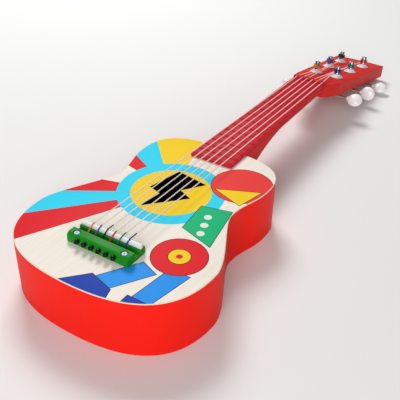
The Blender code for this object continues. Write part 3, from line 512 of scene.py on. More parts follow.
class InkKind(Enum):
    """The two shapes that the print is cut from."""

    DISC = "disc"
    PATCH = "patch"


@dataclass(frozen=True)
class Ink:
    """One cut-out shape of the print, in millimetres on the soundboard.

    A disc has one point, its centre; a patch has its corners, anticlockwise.
    """

    kind: InkKind
    colour: str
    points: tuple[Pair, ...]
    radius: float = 0.0
    lined: bool = False


@dataclass(frozen=True)
class PrintFinish(WoodFinish):
    """Pale birch with a print of plain cut-out shapes in flat inks."""

    inks: tuple[Ink, ...] = ()
    line_width: float = 0.55
    cover: float = 0.988  # how far an ink hides the wood
    ink_gloss: float = -0.12  # what an ink adds to the roughness

    def _outside(self, bench: Bench, effects: Effects, ink: Ink, point: object) -> object:
        """How far a point lies outside one shape.

        Args:
            bench: The material's bench.
            effects: The shared groups.
            ink: The shape.
            point: The point, in millimetres.

        Returns:
            The socket with the distance.
        """
        if ink.kind is InkKind.DISC:
            centre = (*ink.points[0], 0.0)
            node = bench.use(effects.ink_disc, {
                "Point": point, "Centre": centre, "Radius": ink.radius})
            return node.outputs[0]
        outside: object = FAR_INSIDE
        for (x0, y0), (x1, y1) in zip(ink.points, ink.points[1:] + ink.points[:1]):
            length = math.hypot(x1 - x0, y1 - y0)
            normal = ((y1 - y0) / length, (x0 - x1) / length, 0.0)
            offset = normal[0] * x0 + normal[1] * y0
            node = bench.use(effects.ink_edge, {
                "Point": point, "Outside": outside, "Normal": normal, "Offset": offset})
            outside = node.outputs[0]
        return outside

    def printed(
        self, bench: Bench, effects: Effects, position: NodeSocket, wood: NodeSocket
    ) -> tuple[NodeSocket, object]:
        """Lays the inks on the wood one by one, with a little of it showing through."""
        point = bench.vector("MULTIPLY", position, (MILLIMETRES, MILLIMETRES, 0.0))
        tint, covered = wood, 0.0
        for ink in self.inks:
            layer = bench.use(effects.ink_layer, {
                "Below": tint, "Covered": covered, "Ink": opaque(INKS[ink.colour]),
                "Line": opaque(INKS["black"]), "Line Width": self.line_width if ink.lined else 0.0,
                "Outside": self._outside(bench, effects, ink, point)}, ink.colour)
            tint, covered = layer.outputs["Color"], layer.outputs["Covered"]
        through = bench.math("MULTIPLY", covered, self.cover)
        gloss = bench.math("MULTIPLY_ADD", covered, self.ink_gloss, self.gloss)
        return bench.mix(through, wood, tint), gloss


INKS: dict[str, Colour] = {
    "red": (0.80, 0.010, 0.020),
    "cyan": (0.026, 0.70, 0.94),
    "yellow": (0.97, 0.66, 0.010),
    "coral": (0.88, 0.050, 0.045),
    "green": (0.004, 0.50, 0.20),
    "blue": (0.014, 0.30, 0.88),
    "navy": (0.008, 0.050, 0.42),
    "white": (0.90, 0.86, 0.80),
    "black": (0.010, 0.010, 0.012),
}


PRINT_MIDDLE = (-2.0, 65.0)        # of the sound hole


def ray(colour: str, start: float, end: float) -> Ink:
    """A straight-sided ray that spreads from the sound hole's middle past the edge.

    Args:
        colour: Its ink.
        start: The direction of its first side, in degrees from +X.
        end: The direction of its second side.

    Returns:
        The shape.
    """
    (x, y), reach = PRINT_MIDDLE, 170.0
    far = [(x + reach * math.cos(a), y + reach * math.sin(a))
           for a in (math.radians(start), math.radians(end))]
    return Ink(InkKind.PATCH, colour, (PRINT_MIDDLE, *far))


def disc(colour: str, x: float, y: float, radius: float, lined: bool = False) -> Ink:
    """A disc of the print."""
    return Ink(InkKind.DISC, colour, ((x, y),), radius, lined)


def patch(colour: str, *points: Pair) -> Ink:
    """A lined patch of the print, corners anticlockwise."""
    return Ink(InkKind.PATCH, colour, points, lined=True)


PRINT = (
    ray("red", 196.0, 213.0),
    ray("cyan", 213.0, 229.0),
    ray("red", 229.0, 243.0),
    ray("cyan", 133.0, 152.0),
    ray("yellow", 105.0, 133.0),
    ray("red", 152.0, 166.0),
    disc("cyan", *PRINT_MIDDLE, 43.0),
    disc("yellow", *PRINT_MIDDLE, 32.0),
    disc("coral", 40.0, 104.0, 25.0, True),
    patch("yellow", (24.0, 88.0), (52.0, 78.0), (58.0, 104.0)),
    patch("green", (31.0, 31.0), (60.0, 22.0), (52.0, 68.0), (28.0, 62.0)),
    disc("white", 40.0, 52.0, 3.0),
    disc("white", 43.0, 42.0, 3.0),
    disc("white", 46.0, 32.0, 3.0),
    patch("blue", (12.0, -47.0), (27.0, -52.0), (46.0, -22.0), (31.0, -16.0)),
    patch("blue", (45.0, -50.0), (59.0, -50.0), (66.0, -12.0), (50.0, -12.0)),
    patch("navy", (-8.0, -64.0), (34.0, -64.0), (30.0, -50.0), (10.0, -44.0)),
    patch("navy", (42.0, -64.0), (64.0, -64.0), (64.0, -48.0), (42.0, -48.0)),
    disc("red", 48.0, 2.0, 20.0, True),
    disc("yellow", 48.0, 2.0, 8.0, True),
    disc("red", 48.0, 2.0, 2.4),
)

PRINTED_BIRCH = PrintFinish(
    "printed_birch", Slot.BIRCH, pale=(0.97, 0.91, 0.82), dark=(0.78, 0.63, 0.45),
    strength=0.24, gloss=0.60, fineness=620.0, relief=0.000006, specular=0.06, inks=PRINT)
PALE_EDGE = WoodFinish(
    "pale_plywood_edge", Slot.BIRCH, pale=(0.88, 0.78, 0.62), dark=(0.60, 0.44, 0.28))
# Near-black walls of the holes: partly the charring of the laser cut, partly painted shade from
# the dark inside.
BURNT_AND_SHADED_EDGE = WoodFinish(
    "laser_burnt_edge", Slot.BIRCH, pale=(0.005, 0.004, 0.003), dark=(0.002, 0.002, 0.001),
    gloss=0.9, specular=0.03)
# Painted shade: the inner faces of the body are made near-black, as little light reaches inside.
PAINTED_SHADE_INSIDE = WoodFinish(
    "stained_inside", Slot.SPRUCE, pale=(0.005, 0.003, 0.003), dark=(0.002, 0.001, 0.001),
    gloss=1.0, specular=0.0)
# Painted shade: the spruce inside is made near-black so that it stays dark through the hole, as
# the shade inside would keep it.
SHADE_DARK_SPRUCE = WoodFinish(
    "inner_spruce", Slot.SPRUCE, pale=(0.030, 0.020, 0.012), dark=(0.012, 0.008, 0.005),
    gloss=1.0, specular=0.0)
ORANGE_LACQUER = SmoothFinish(
    "orange_red_lacquer", Slot.PAINT, colour=(0.94, 0.013, 0.005), shade=(0.88, 0.011, 0.004),
    gloss=0.50, specular=0.11)
# Painted shade: the body's lacquer made darker on the neck and head, for the weaker light that
# falls there.
SHADE_DARKENED_NECK_LACQUER = SmoothFinish(
    "neck_lacquer", Slot.PAINT, colour=(0.74, 0.018, 0.012), shade=(0.66, 0.015, 0.010),
    gloss=0.50, specular=0.14)
CRIMSON_MOULDING = SmoothFinish(
    "crimson_plastic", Slot.BOARD, colour=(0.62, 0.018, 0.028), shade=(0.54, 0.014, 0.023),
    gloss=0.50, skin=0.000008, specular=0.10)
GREEN_MOULDING = SmoothFinish(
    "green_plastic", Slot.BRIDGE, colour=(0.010, 0.27, 0.012), shade=(0.008, 0.22, 0.010),
    gloss=0.46, skin=0.000008, specular=0.12)
WHITE_MOULDING = SmoothFinish(
    "white_gloss_plastic", Slot.WHITE, colour=(0.95, 0.94, 0.96), shade=(0.90, 0.89, 0.92),
    gloss=0.28)
BLACK_BEAD = SmoothFinish(
    "black_bead", Slot.BLACK, colour=(0.005, 0.005, 0.006), shade=(0.008, 0.008, 0.008),
    gloss=0.25)
PEARL = PearlFinish(
    "pearly_button", Slot.PEARL, colour=(0.98, 0.97, 0.95), shade=(0.90, 0.88, 0.85))
# Painted reflection: the clear nylon is tinted pink for the red board that shows through it and is
# reflected in it.
CLEAR_NYLON = SmoothFinish(
    "clear_nylon", Slot.NYLON, colour=(0.97, 0.83, 0.82), shade=(0.93, 0.77, 0.76), gloss=0.25)
# Painted reflection: the plate's colour is darkened to stand for the dark surroundings that the
# posts reflect.
CHROME = MetalFinish(
    "chrome_plate", Slot.CHROME, colour=(0.34, 0.34, 0.36), shade=(0.2788, 0.2788, 0.2952),
    gloss=0.14)
BRIGHT_SCREW = MetalFinish(
    "bright_screw", Slot.CHROME, colour=(0.25, 0.27, 0.35), shade=(0.205, 0.2214, 0.287),
    gloss=0.50)
ZINC = MetalFinish(
    "zinc_plate", Slot.ZINC, colour=(0.62, 0.62, 0.63), shade=(0.5084, 0.5084, 0.5166),
    gloss=0.32)

STRING_DYES: tuple[tuple[str, Colour], ...] = (
    ("orange", (0.86, 0.22, 0.006)),
    ("purple", (0.13, 0.055, 0.33)),
    ("black", (0.005, 0.005, 0.006)),
    ("red", (0.62, 0.010, 0.012)),
    ("teal", (0.006, 0.17, 0.16)),
    ("blue", (0.014, 0.024, 0.28)),
)


# Workshop: meshes, objects and finishing touches

def object_from(name: str, mesh: Mesh, place: Matrix | None = None) -> Object:
    """Puts a mesh or a curve in the scene.

    Args:
        name: The object's name.
        mesh: Its data.
        place: Where it goes, at the origin where it is left out.

    Returns:
        The new object.
    """
    item = bpy.data.objects.new(name, mesh)
    bpy.context.scene.collection.objects.link(item)
    if place is not None:
        item.matrix_world = place
    return item


def plain_mesh(item: Object, *used: Object) -> Mesh:
    """Takes an object's evaluated mesh, placed as the object is, and removes the object.

    Args:
        item: The object with its live modifiers.
        *used: Cutters that are removed with it.

    Returns:
        The mesh, in the solids' frame.
    """
    bpy.context.view_layer.update()
    graph = bpy.context.evaluated_depsgraph_get()
    mesh = bpy.data.meshes.new_from_object(item.evaluated_get(graph))
    mesh.transform(item.matrix_world)
    for spent in (item, *used):
        bpy.data.objects.remove(spent, do_unlink=True)
    return mesh


def mesh_of(work: BMesh, name: str, merge: float = WELD) -> Mesh:
    """Closes a bmesh: merges doubles, turns its faces outwards and makes the mesh."""
    bmesh.ops.remove_doubles(work, verts=work.verts, dist=merge)
    bmesh.ops.recalc_face_normals(work, faces=work.faces)
    mesh = bpy.data.meshes.new(name)
    work.to_mesh(mesh)
    work.free()
    return mesh


def skinned(
    work: BMesh, rows: list[list[BMVert]]
) -> list[BMFace]:
    """Joins closed rows of as many points each, one after the other.

    Args:
        work: The bmesh that the points are in.
        rows: The rows in order.

    Returns:
        The faces, row by row.
    """
    return [work.faces.new((row[i], row[(i + 1) % len(row)], after[(i + 1) % len(row)], after[i]))
            for row, after in zip(rows, rows[1:]) for i in range(len(row))]


def lofted(name: str, rings: list[list[Vector]]) -> Mesh:
    """Skins closed rings with as many points each, and caps both ends.

    Args:
        name: The mesh's name.
        rings: The rings in order.

    Returns:
        The closed mesh.
    """
    work = bmesh.new()
    rows = [[work.verts.new(point) for point in ring] for ring in rings]
    skinned(work, rows)
    work.faces.new(rows[0])
    work.faces.new(rows[-1])
    return mesh_of(work, name)


def turned(name: str, profile: Profile, steps: int = 48, hollow: bool = False) -> Mesh:
    """Turns a profile of radius and height about Z.

    Args:
        name: The mesh's name.
        profile: The points in order; a radius of 0 makes a pole.
        steps: Columns round the axis.
        hollow: Joins the last point to the first, for a piece with a bore.

    Returns:
        The closed mesh.
    """
    work = bmesh.new()
    columns = [[work.verts.new((r * math.cos(a), r * math.sin(a), z)) for r, z in profile]
               for a in turns(steps)]
    count = len(profile)
    for column, after in zip(columns, columns[1:] + columns[:1]):
        for i in range(count if hollow else count - 1):
            j = (i + 1) % count
            corners = [column[i], after[i], after[j], column[j]]
            if profile[i][0] == 0:
                corners = [column[i], after[j], column[j]]
            elif profile[j][0] == 0:
                corners = [column[i], after[i], column[j]]
            work.faces.new(corners)
    return mesh_of(work, name)


def filleted(path: list[Vector], radius: float, steps: int = 4) -> list[Vector]:
    """Rounds the inner corners of a path.

    Args:
        path: The corners.
        radius: The fillet's radius, less where a side is too short for it.
        steps: Pieces to each fillet.

    Returns:
        The rounded path.
    """
    result, most = [path[0]], 0.49
    for before, corner, after in zip(path, path[1:], path[2:]):
        back, ahead = before - corner, after - corner
        bend = math.pi - back.angle(ahead)
        cut = min(radius * math.tan(bend / 2), most * back.length, most * ahead.length)
        first, last = corner + back.normalized() * cut, corner + ahead.normalized() * cut
        result += [first.lerp(corner, t).lerp(corner.lerp(last, t), t) for t in spaced(1, steps)]
    result.append(path[-1])
    return result


def soft_profile(profile: Profile, radius: float, steps: int = 3) -> Profile:
    """Rounds a turned piece's profile."""
    path = filleted([Vector((r, z, 0)) for r, z in profile], radius, steps)
    return [(max(p.x, 0.0), p.y) for p in path]


def cylinder(name: str, radius: float, low: float, high: float, sides: int = 32) -> Mesh:
    """A plain cylinder on Z, for cutting."""
    return turned(name, [(0, low), (radius, low), (radius, high), (0, high)], sides)


def block(name: str, low: tuple, high: tuple) -> Mesh:
    """A plain box between two corners, for cutting."""
    work = bmesh.new()
    bmesh.ops.create_cube(work, size=1)
    size = Vector(high) - Vector(low)
    bmesh.ops.scale(work, vec=size, verts=work.verts)
    bmesh.ops.translate(work, vec=(Vector(high) + Vector(low)) / 2, verts=work.verts)
    return mesh_of(work, name)


def combined(
    item: Object, operation: str, tools: list[Object]
) -> Mesh:
    """Cuts or joins an object with others.

    Args:
        item: The object.
        operation: DIFFERENCE or UNION.
        tools: The other objects, which are removed.

    Returns:
        The resulting mesh.
    """
    for tool in tools:
        cut = item.modifiers.new(tool.name, "BOOLEAN")
        cut.operation = operation
        cut.object = tool
        cut.solver = "EXACT"
    return plain_mesh(item, *tools)


def eased(
    item: Object, width: float, segments: int = 3,
    test: Callable[[BMEdge], bool] | None = None, corner: float = 35.0,
) -> Mesh:
    """Rounds an object's sharp edges.

    Args:
        item: The object, which is removed.
        width: The rounding's width.
        segments: Faces across it.
        test: Picks the edges, all of the sharp ones where it is left out.
        corner: The least angle of a sharp edge, in degrees.

    Returns:
        The rounded mesh.
    """
    work = bmesh.new()
    work.from_mesh(item.data)
    bmesh.ops.remove_doubles(work, verts=work.verts, dist=WELD)
    one_plane = 0.01
    bmesh.ops.dissolve_limit(work, angle_limit=one_plane, verts=work.verts, edges=work.edges)
    weight = work.edges.layers.float.new("bevel_weight_edge")
    for edge in work.edges:
        sharp = len(edge.link_faces) == 2 and edge.calc_face_angle() > math.radians(corner)
        edge[weight] = 1.0 if sharp and (test is None or test(edge)) else 0.0
    work.to_mesh(item.data)
    work.free()
    rounding = item.modifiers.new("edges", "BEVEL")
    rounding.width = width
    rounding.segments = segments
    rounding.limit_method = "WEIGHT"
    return plain_mesh(item)


def copy_of(node: str) -> Object:
    """A copy of a solid's mesh as an object of its own, to be worked on."""
    return object_from(node + "_copy", bpy.data.objects[node].data.copy())


@dataclass
class Assembly:
    """What the sub-assemblies share: the effects, the built finishes and the hand-over."""

    effects: Effects

    def material(self, finish: Finish) -> Material:
        """Gives a finish's material, built at its first use."""
        built = self.effects.materials
        if finish not in built:
            built[finish] = finish.build(self.effects)
        return built[finish]

    def place(
        self, name: str, mesh: Mesh, finishes: list[Finish], body: str,
        replaces: tuple[str, ...] = (), smooth: float = 32.0,
    ) -> Object:
        """Hands a finished piece over: named, dressed, shaded and riding on its body.

        Args:
            name: The piece's name.
            mesh: Its mesh, in the solids' frame.
            finishes: Its finishes, by the mesh's material numbers.
            body: The body that it rides on.
            replaces: The solids that it stands for.
            smooth: The angle over which an edge stays sharp, in degrees.

        Returns:
            The piece.
        """
        mesh.name = name
        numbers = [min(face.material_index, len(finishes) - 1) for face in mesh.polygons]
        mesh.materials.clear()
        for finish in finishes:
            mesh.materials.append(self.material(finish))
        mesh.polygons.foreach_set("material_index", numbers)
        mesh.shade_smooth()
        mesh.set_sharp_from_angle(angle=math.radians(smooth))
        item = object_from(name, mesh)
        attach(item, body)
        if replaces:
            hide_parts(*replaces)
        LOG.info("%s: %d faces", name, len(mesh.polygons))
        return item

    def dress(self, node: str, finish: Finish) -> None:
        """Gives a solid that stays as it is its material."""
        item = bpy.data.objects[node]
        item.data.materials.clear()
        item.data.materials.append(self.material(finish))
        LOG.info("%s: kept", node)


# Body

@dataclass
class Body(Assembly):
    """Soundboard, sides, back and what is inside."""

    depth: float = TOP_FACE
    plate: float = 0.0028
    rib: float = 0.0026
    tail: float = -0.0615
    lower: Pair = (0.0790, 0.0)
    waist: Pair = (0.0535, 0.0645)
    upper: Pair = (0.0612, 0.1115)
    neck: float = 0.1485
    tail_pull: float = 0.0430
    lower_pull: Pair = (0.0500, 0.0175)
    waist_pull: Pair = (0.0127, 0.0210)
    upper_pull: Pair = (0.0230, 0.0400)
    shoulder_pull: float = 0.0200
    curve_steps: int = 36
    hole: tuple[Pair, ...] = (
        (-0.0136, 0.0938), (0.0156, 0.0887), (0.0030, 0.0710), (0.0154, 0.0653),
        (-0.0113, 0.0361), (-0.0084, 0.0582), (-0.0203, 0.0618),
    )
    screw_hole: float = 0.0017
    screw_hole_steps: int = 32
    hole_zone: Triple = (0.0235, -0.0300, 0.1000)  # half width, low, high
    top_edge: float = 0.0006
    back_edge: float = 0.0010
    level: float = 0.98  # least upright part of a flat face's normal
    rim_slope: float = 0.1  # and of the rounding that stays pale

    def half_outline(self) -> list[Vector]:
        """Right half of the outline, tail to neck, on the same four curves as the solids."""
        tail, neck = Vector((0, self.tail)), Vector((0, self.neck))
        lower, waist, upper = Vector(self.lower), Vector(self.waist), Vector(self.upper)
        along, across = Vector((0, 1)), Vector((1, 0))
        curves = [
            (tail, tail + self.tail_pull * across, lower - self.lower_pull[0] * along, lower),
            (lower, lower + self.lower_pull[1] * along, waist - self.waist_pull[0] * along, waist),
            (waist, waist + self.waist_pull[1] * along, upper - self.upper_pull[0] * along, upper),
            (upper, upper + self.upper_pull[1] * along, neck + self.shoulder_pull * across, neck),
        ]
        points = []
        for a, b, c, d in curves:
            for t in spaced(1, self.curve_steps)[:-1]:
                s = 1 - t
                points.append(s ** 3 * a + 3 * s * s * t * b + 3 * s * t * t * c + t ** 3 * d)
        return points + [neck]

    def loop(self) -> list[Vector]:
        """The whole outline, closed, with both halves."""
        half = self.half_outline()
        return half + [Vector((-p.x, p.y)) for p in reversed(half[1:-1])]

    def plate_object(self, name: str, height: float, holes: list) -> Object:
        """A plywood plate of the body's outline.

        Args:
            name: The object's name.
            height: The middle of its thickness.
            holes: Closed outlines that are cut out of it.

        Returns:
            The plate as a mesh object.
        """
        curve = bpy.data.curves.new(name, "CURVE")
        curve.dimensions = "2D"
        curve.fill_mode = "BOTH"
        curve.extrude = self.plate / 2
        for points in [self.loop(), *holes]:
            spline = curve.splines.new("POLY")
            spline.points.add(len(points) - 1)
            for point, spot in zip(spline.points, points):
                point.co = (spot[0], spot[1], 0, 1)
            spline.use_cyclic_u = True
        flat = object_from(name, curve, Matrix.Translation((0, 0, height)))
        return object_from(name, plain_mesh(flat))

    def in_hole_zone(self, spot: Vector) -> bool:
        """Whether a point of the soundboard lies at its holes and not at its rim."""
        half, low, high = self.hole_zone
        return abs(spot.x) < half and low < spot.y < high

    def make_soundboard(self) -> None:
        """Printed plywood with a pale rim line, painted sides, near-black hole walls that are
        partly burnt and partly painted shade, and painted shade on its underside.
        """
        (x, y), radius = BRIDGE_SCREWS, self.screw_hole
        holes = [[(side.value * x + radius * math.cos(a), y + radius * math.sin(a))
                  for a in turns(self.screw_hole_steps)] for side in Side]
        middle = self.depth - self.plate / 2
        board = self.plate_object("soundboard_top", middle, [list(self.hole), *holes])
        mesh = eased(board, self.top_edge, 3, lambda e: all(
            v.co.z > middle and not self.in_hole_zone(v.co) for v in e.verts))
        finishes = [PRINTED_BIRCH, PALE_EDGE, BURNT_AND_SHADED_EDGE, PAINTED_SHADE_INSIDE, ORANGE_LACQUER]
        for face in mesh.polygons:
            if face.normal.z > self.level:
                finish = PRINTED_BIRCH
            # The underside takes the inside's painted shade.
            elif face.normal.z < -self.level:
                finish = PAINTED_SHADE_INSIDE
            # The walls of the holes are near-black, partly burnt and partly painted shade.
            elif self.in_hole_zone(face.center):
                finish = BURNT_AND_SHADED_EDGE
            else:
                finish = PALE_EDGE if face.normal.z > self.rim_slope else ORANGE_LACQUER
            face.material_index = finishes.index(finish)
        self.place("soundboard_top", mesh, finishes, ROOT, ("soundboard",))

    def make_back(self) -> None:
        """Painted back with a rounded lower edge, and painted shade on its inner face."""
        middle = self.plate / 2
        back = self.plate_object("back_plate", middle, [])
        mesh = eased(back, self.back_edge, 4, lambda e: all(v.co.z < middle for v in e.verts))
        finishes = [ORANGE_LACQUER, PAINTED_SHADE_INSIDE]
        for face in mesh.polygons:
            finish = PAINTED_SHADE_INSIDE if face.normal.z > self.level else ORANGE_LACQUER
            face.material_index = finishes.index(finish)
        self.place("back_plate", mesh, finishes, ROOT, ("back",))

    def make_sides(self) -> None:
        """One bent band for both ribs, painted over, so that its joint doesn't show."""
        band = self.loop()
        low, high = self.plate + TOUCH, self.depth - self.plate - TOUCH
        count = len(band)
        points = [(p.x, p.y, z) for z in (low, high) for p in band]
        faces = [(i, (i + 1) % count, count + (i + 1) % count, count + i) for i in range(count)]
        mesh = bpy.data.meshes.new("bent_sides")
        mesh.from_pydata(points, [], faces)
        sides = object_from("bent_sides", mesh)
        wall = sides.modifiers.new("wall", "SOLIDIFY")
        wall.thickness = self.rib
        wall.offset = -1
        wall.use_even_offset = True
        # The inner faces take the inside's near-black painted shade.
        wall.material_offset = 1
        finishes = [ORANGE_LACQUER, PAINTED_SHADE_INSIDE]
        for finish in finishes:
            mesh.materials.append(self.material(finish))
        self.place("bent_sides", plain_mesh(sides), finishes, ROOT, ("rib_left", "rib_right"))

    def make(self) -> None:
        """Builds the body and dresses the pieces inside it."""
        self.make_soundboard()
        self.make_back()
        self.make_sides()
        # The pieces inside take the near-black spruce: painted shade.
        for node in ("neck_block", "tail_block", "top_brace_upper", "top_brace_lower",
                     "back_brace_upper", "back_brace_lower", "bridge_plate"):
            self.dress(node, SHADE_DARK_SPRUCE)


# Neck, fretboard and nut

@dataclass
class Neck(Assembly):
    """One-piece neck with its heel and tilted head, and the moulded fretboard."""

    top: float = TOP_FACE
    start: float = 0.1488
    nut: float = 0.3239
    nut_length: float = 0.0042
    nut_half: float = 0.0181
    board_end: float = 0.1209
    board_end_half: float = 0.0199
    board: float = 0.0023
    board_edge: float = 0.0004
    depth: float = 0.0125
    depth_gain: float = -0.0010  # added to the depth where the neck starts
    heel_length: float = 0.075
    heel_floor: float = 0.0060
    heel_sweep: float = 1.4  # over 1 makes its underside hollow
    fullness: float = 1.0  # of the shaft's section, 1 is half an ellipse
    heel_fullness: float = 0.5  # lower is squarer
    heel_steps: int = 20
    heel_crowding: float = 1.3  # over 1 puts the sections closer at the body
    shaft_steps: int = 10
    overrun: float = 0.0030  # of the shaft, into the head
    sides: int = 36
    scale: float = 0.3537
    frets: int = 14
    ridge: Pair = (0.00080, 0.00090)  # half width, rise
    ridge_inset: float = 0.0014
    ridge_sides: int = 20
    nut_edge: float = 0.0002
    head_rise: float = 0.0009
    head_tilt: float = math.radians(10.5)
    head_length: float = 0.1665
    shoulder: Pair = (0.0256, 0.0220)  # half width, and place from the nut
    tip_half: float = 0.0310
    tip_arch: float = 0.0030
    tip_steps: int = 8
    head_root: float = 0.0030
    head_flare: float = 0.0008
    head_corner: float = 0.0016
    head_edge: float = 0.0011
    bush_hole: float = 0.0046

    def __post_init__(self) -> None:
        """Works out the head's frame."""
        place = Matrix.Translation((0, self.nut, self.top + self.head_rise))
        self.head_frame = place @ Euler((-self.head_tilt, 0, 0)).to_matrix().to_4x4()

    def half_at(self, y: float) -> float:
        """Half width of the fretboard and neck."""
        share = (y - self.board_end) / (self.nut - self.board_end)
        return self.board_end_half + (self.nut_half - self.board_end_half) * share

    def section(self, y: float) -> list[Vector]:
        """Flat on top with a half round below, which grows squarer towards the body."""
        along = (y - self.start) / (self.nut - self.start)
        slim = self.depth + self.depth_gain * (1 - along)
        share = max(0.0, 1 - (y - self.start) / self.heel_length) ** self.heel_sweep
        deep = slim + (self.top - self.heel_floor - slim) * share
        power = self.fullness + (self.heel_fullness - self.fullness) * share
        half = self.half_at(y)
        ring = []
        for a in spaced(math.pi, self.sides):
            across, down = math.cos(a), max(math.sin(a), 0.0)
            ring.append(Vector((half * math.copysign(abs(across) ** power, across), y,
                                self.top - deep * down ** power)))
        return ring

    def head_object(self) -> Object:
        """The head's slab with its small rounded corners and edges, in its own frame."""
        root = self.half_at(self.nut)
        half = [Vector((root, -self.head_root, 0)), Vector((root + self.head_flare, 0, 0)),
                Vector((*self.shoulder, 0))]
        half += [Vector((self.tip_half * t, self.head_length - self.tip_arch * t * t, 0))
                 for t in reversed(spaced(1, self.tip_steps))]
        half = filleted(half, self.head_corner, 5)
        loop = half + [Vector((-p.x, p.y, 0)) for p in reversed(half[:-1])]
        low = Vector((0, 0, -HEAD_THICKNESS))
        slab = object_from("head_slab", lofted("head_slab", [[p + low for p in loop], loop]))
        return object_from("head_slab", eased(slab, self.head_edge, 4, corner=60.0))

    def make_neck(self) -> None:
        """Shaft, heel and head in one, with the bush holes and the nut's seat."""
        near = [self.start + self.heel_length * t ** self.heel_crowding
                for t in spaced(1, self.heel_steps)]
        run = self.nut + self.overrun - near[-1]
        far = [near[-1] + along for along in spaced(run, self.shaft_steps)[1:]]
        rings = [self.section(y) for y in near + far]
        shaft = object_from("neck_shaft", lofted("neck_shaft", rings))
        head = self.head_object()
        head.matrix_world = self.head_frame
        joined = object_from("neck_shaft", combined(shaft, "UNION", [head]))
        tools = []
        for label, (x, y) in post_places().items():
            hole = cylinder("bush_hole", self.bush_hole, -HEAD_THICKNESS - CUT_OVER, CUT_OVER)
            place = self.head_frame @ Matrix.Translation((x, y, 0))
            tools.append(object_from("bush_hole_" + label, hole, place))
        reach = 2 * self.nut_half
        tools.append(object_from("nut_seat", block(
            "nut_seat", (-reach, self.nut - self.nut_length, self.top),
            (reach, self.nut, self.top + HEAD_THICKNESS))))
        # The neck's lacquer is the body's, darkened as painted shade.
        self.place("carved_neck", combined(joined, "DIFFERENCE", tools), [SHADE_DARKENED_NECK_LACQUER], ROOT,
                   ("neck",), smooth=28.0)

    def make_board(self) -> None:
        """The fretboard's moulding, with eased edges."""
        low, high = self.top + GAP, self.top + GAP + self.board
        ends = (self.board_end, self.nut - self.nut_length - TOUCH)
        side = [(ends[0], low), (ends[0], high), (ends[1], high), (ends[1], low)]
        rings = [[Vector((x * self.half_at(y), y, z)) for y, z in side] for x in (-1, 1)]
        board = object_from("fretboard_moulding", lofted("fretboard_moulding", rings))
        self.place("fretboard_moulding", eased(board, self.board_edge), [CRIMSON_MOULDING], ROOT,
                   ("fretboard",))

    def make_ridges(self) -> None:
        """The fret ridges, each a shallow bar at its place in the twelve-tone row."""
        bench, source, target = new_group(
            "fret_ridges", "GeometryNodeTree",
            {"Count": ("NodeSocketInt", self.frets), "Scale Length": (NUMBER, self.scale),
             "Nut": (NUMBER, self.nut), "Height": (NUMBER, 0.0),
             "Half At Nut": (NUMBER, self.nut_half), "Taper": (NUMBER, 0.0),
             "Half Width": (NUMBER, self.ridge[0]), "Rise": (NUMBER, self.ridge[1]),
             "Material": ("NodeSocketMaterial", None)},
            {"Geometry": "NodeSocketGeometry"})
        take = source.outputs
        line = bench.add("GeometryNodeMeshLine", {"Count": take["Count"]})
        number = bench.math("ADD", bench.add("GeometryNodeInputIndex").outputs[0], 1.0)
        octave = -12.0
        power = bench.math("POWER", 2.0, bench.math("DIVIDE", number, octave))
        back = bench.math("MULTIPLY", bench.math("SUBTRACT", 1.0, power), take["Scale Length"])
        place = bench.add("ShaderNodeCombineXYZ", {
            "Y": bench.math("SUBTRACT", take["Nut"], back), "Z": take["Height"]})
        row = bench.add("GeometryNodeSetPosition", {
            "Geometry": line.outputs[0], "Position": place.outputs[0]})
        spine = bench.add("GeometryNodeCurvePrimitiveLine", {
            "Start": (-1.0, 0.0, 0.0), "End": (1.0, 0.0, 0.0)})
        ring = bench.add("GeometryNodeCurvePrimitiveCircle", {
            "Resolution": self.ridge_sides, "Radius": 1.0})
        bar = bench.add("GeometryNodeCurveToMesh", {
            "Curve": spine.outputs[0], "Profile Curve": ring.outputs[0], "Fill Caps": True})
        wide = bench.math("MULTIPLY_ADD", back, take["Taper"], take["Half At Nut"])
        size = bench.add("ShaderNodeCombineXYZ", {
            "X": wide, "Y": take["Half Width"], "Z": take["Rise"]})
        dressed_copies(bench, target, row.outputs[0], bar.outputs[0], take["Material"],
                       Scale=size.outputs[0])
        nut_face = self.nut - self.nut_length
        taper = (self.board_end_half - self.nut_half) / (self.nut - self.board_end)
        mesh = grown("fret_ridges", bench.tree, {
            "Nut": nut_face, "Height": self.top + GAP + self.board - TOUCH,
            "Half At Nut": self.half_at(nut_face) - self.ridge_inset, "Taper": taper,
            "Material": self.material(CRIMSON_MOULDING)})
        self.place("fret_ridges", mesh, [CRIMSON_MOULDING], ROOT)

    def make(self) -> None:
        """Builds the neck and what is on it."""
        self.make_neck()
        self.make_board()
        self.make_ridges()
        nut = eased(copy_of("nut"), self.nut_edge, 2)
        self.place("slotted_nut", nut, [CRIMSON_MOULDING], ROOT, ("nut",))


def dressed_copies(
    bench: Bench, target: Node, points: NodeSocket, item: NodeSocket, material: NodeSocket,
    **placing: NodeSocket,
) -> None:
    """Ends a geometry tree: copies on its points, made real and given their material.

    Args:
        bench: The tree's bench.
        target: Its output node.
        points: Where the copies go.
        item: What is copied.
        material: The copies' material.
        **placing: Their Scale or Rotation.
    """
    copies = bench.add("GeometryNodeInstanceOnPoints", {
        "Points": points, "Instance": item, **placing})
    real = bench.add("GeometryNodeRealizeInstances", {"Geometry": copies.outputs[0]})
    dressed = bench.add("GeometryNodeSetMaterial", {
        "Geometry": real.outputs[0], "Material": material})
    bench.feed(target, {"Geometry": dressed.outputs[0]})


def grown(
    name: str, tree: NodeTree, values: dict[str, object],
    seed: Mesh | None = None,
) -> Mesh:
    """Runs a geometry tree and takes its result as a plain mesh.

    Args:
        name: The mesh's name.
        tree: The tree.
        values: Its inputs by name.
        seed: The mesh that it starts from, empty where it is left out.

    Returns:
        The mesh.
    """
    item = object_from(name, seed or bpy.data.meshes.new(name))
    growth = item.modifiers.new(name, "NODES")
    growth.node_group = tree
    sockets = {s.name: s.identifier for s in tree.interface.items_tree if s.in_out == "INPUT"}
    for label, value in values.items():
        growth[sockets[label]] = value
    return plain_mesh(item)


# Bridge, saddle, screws and beads

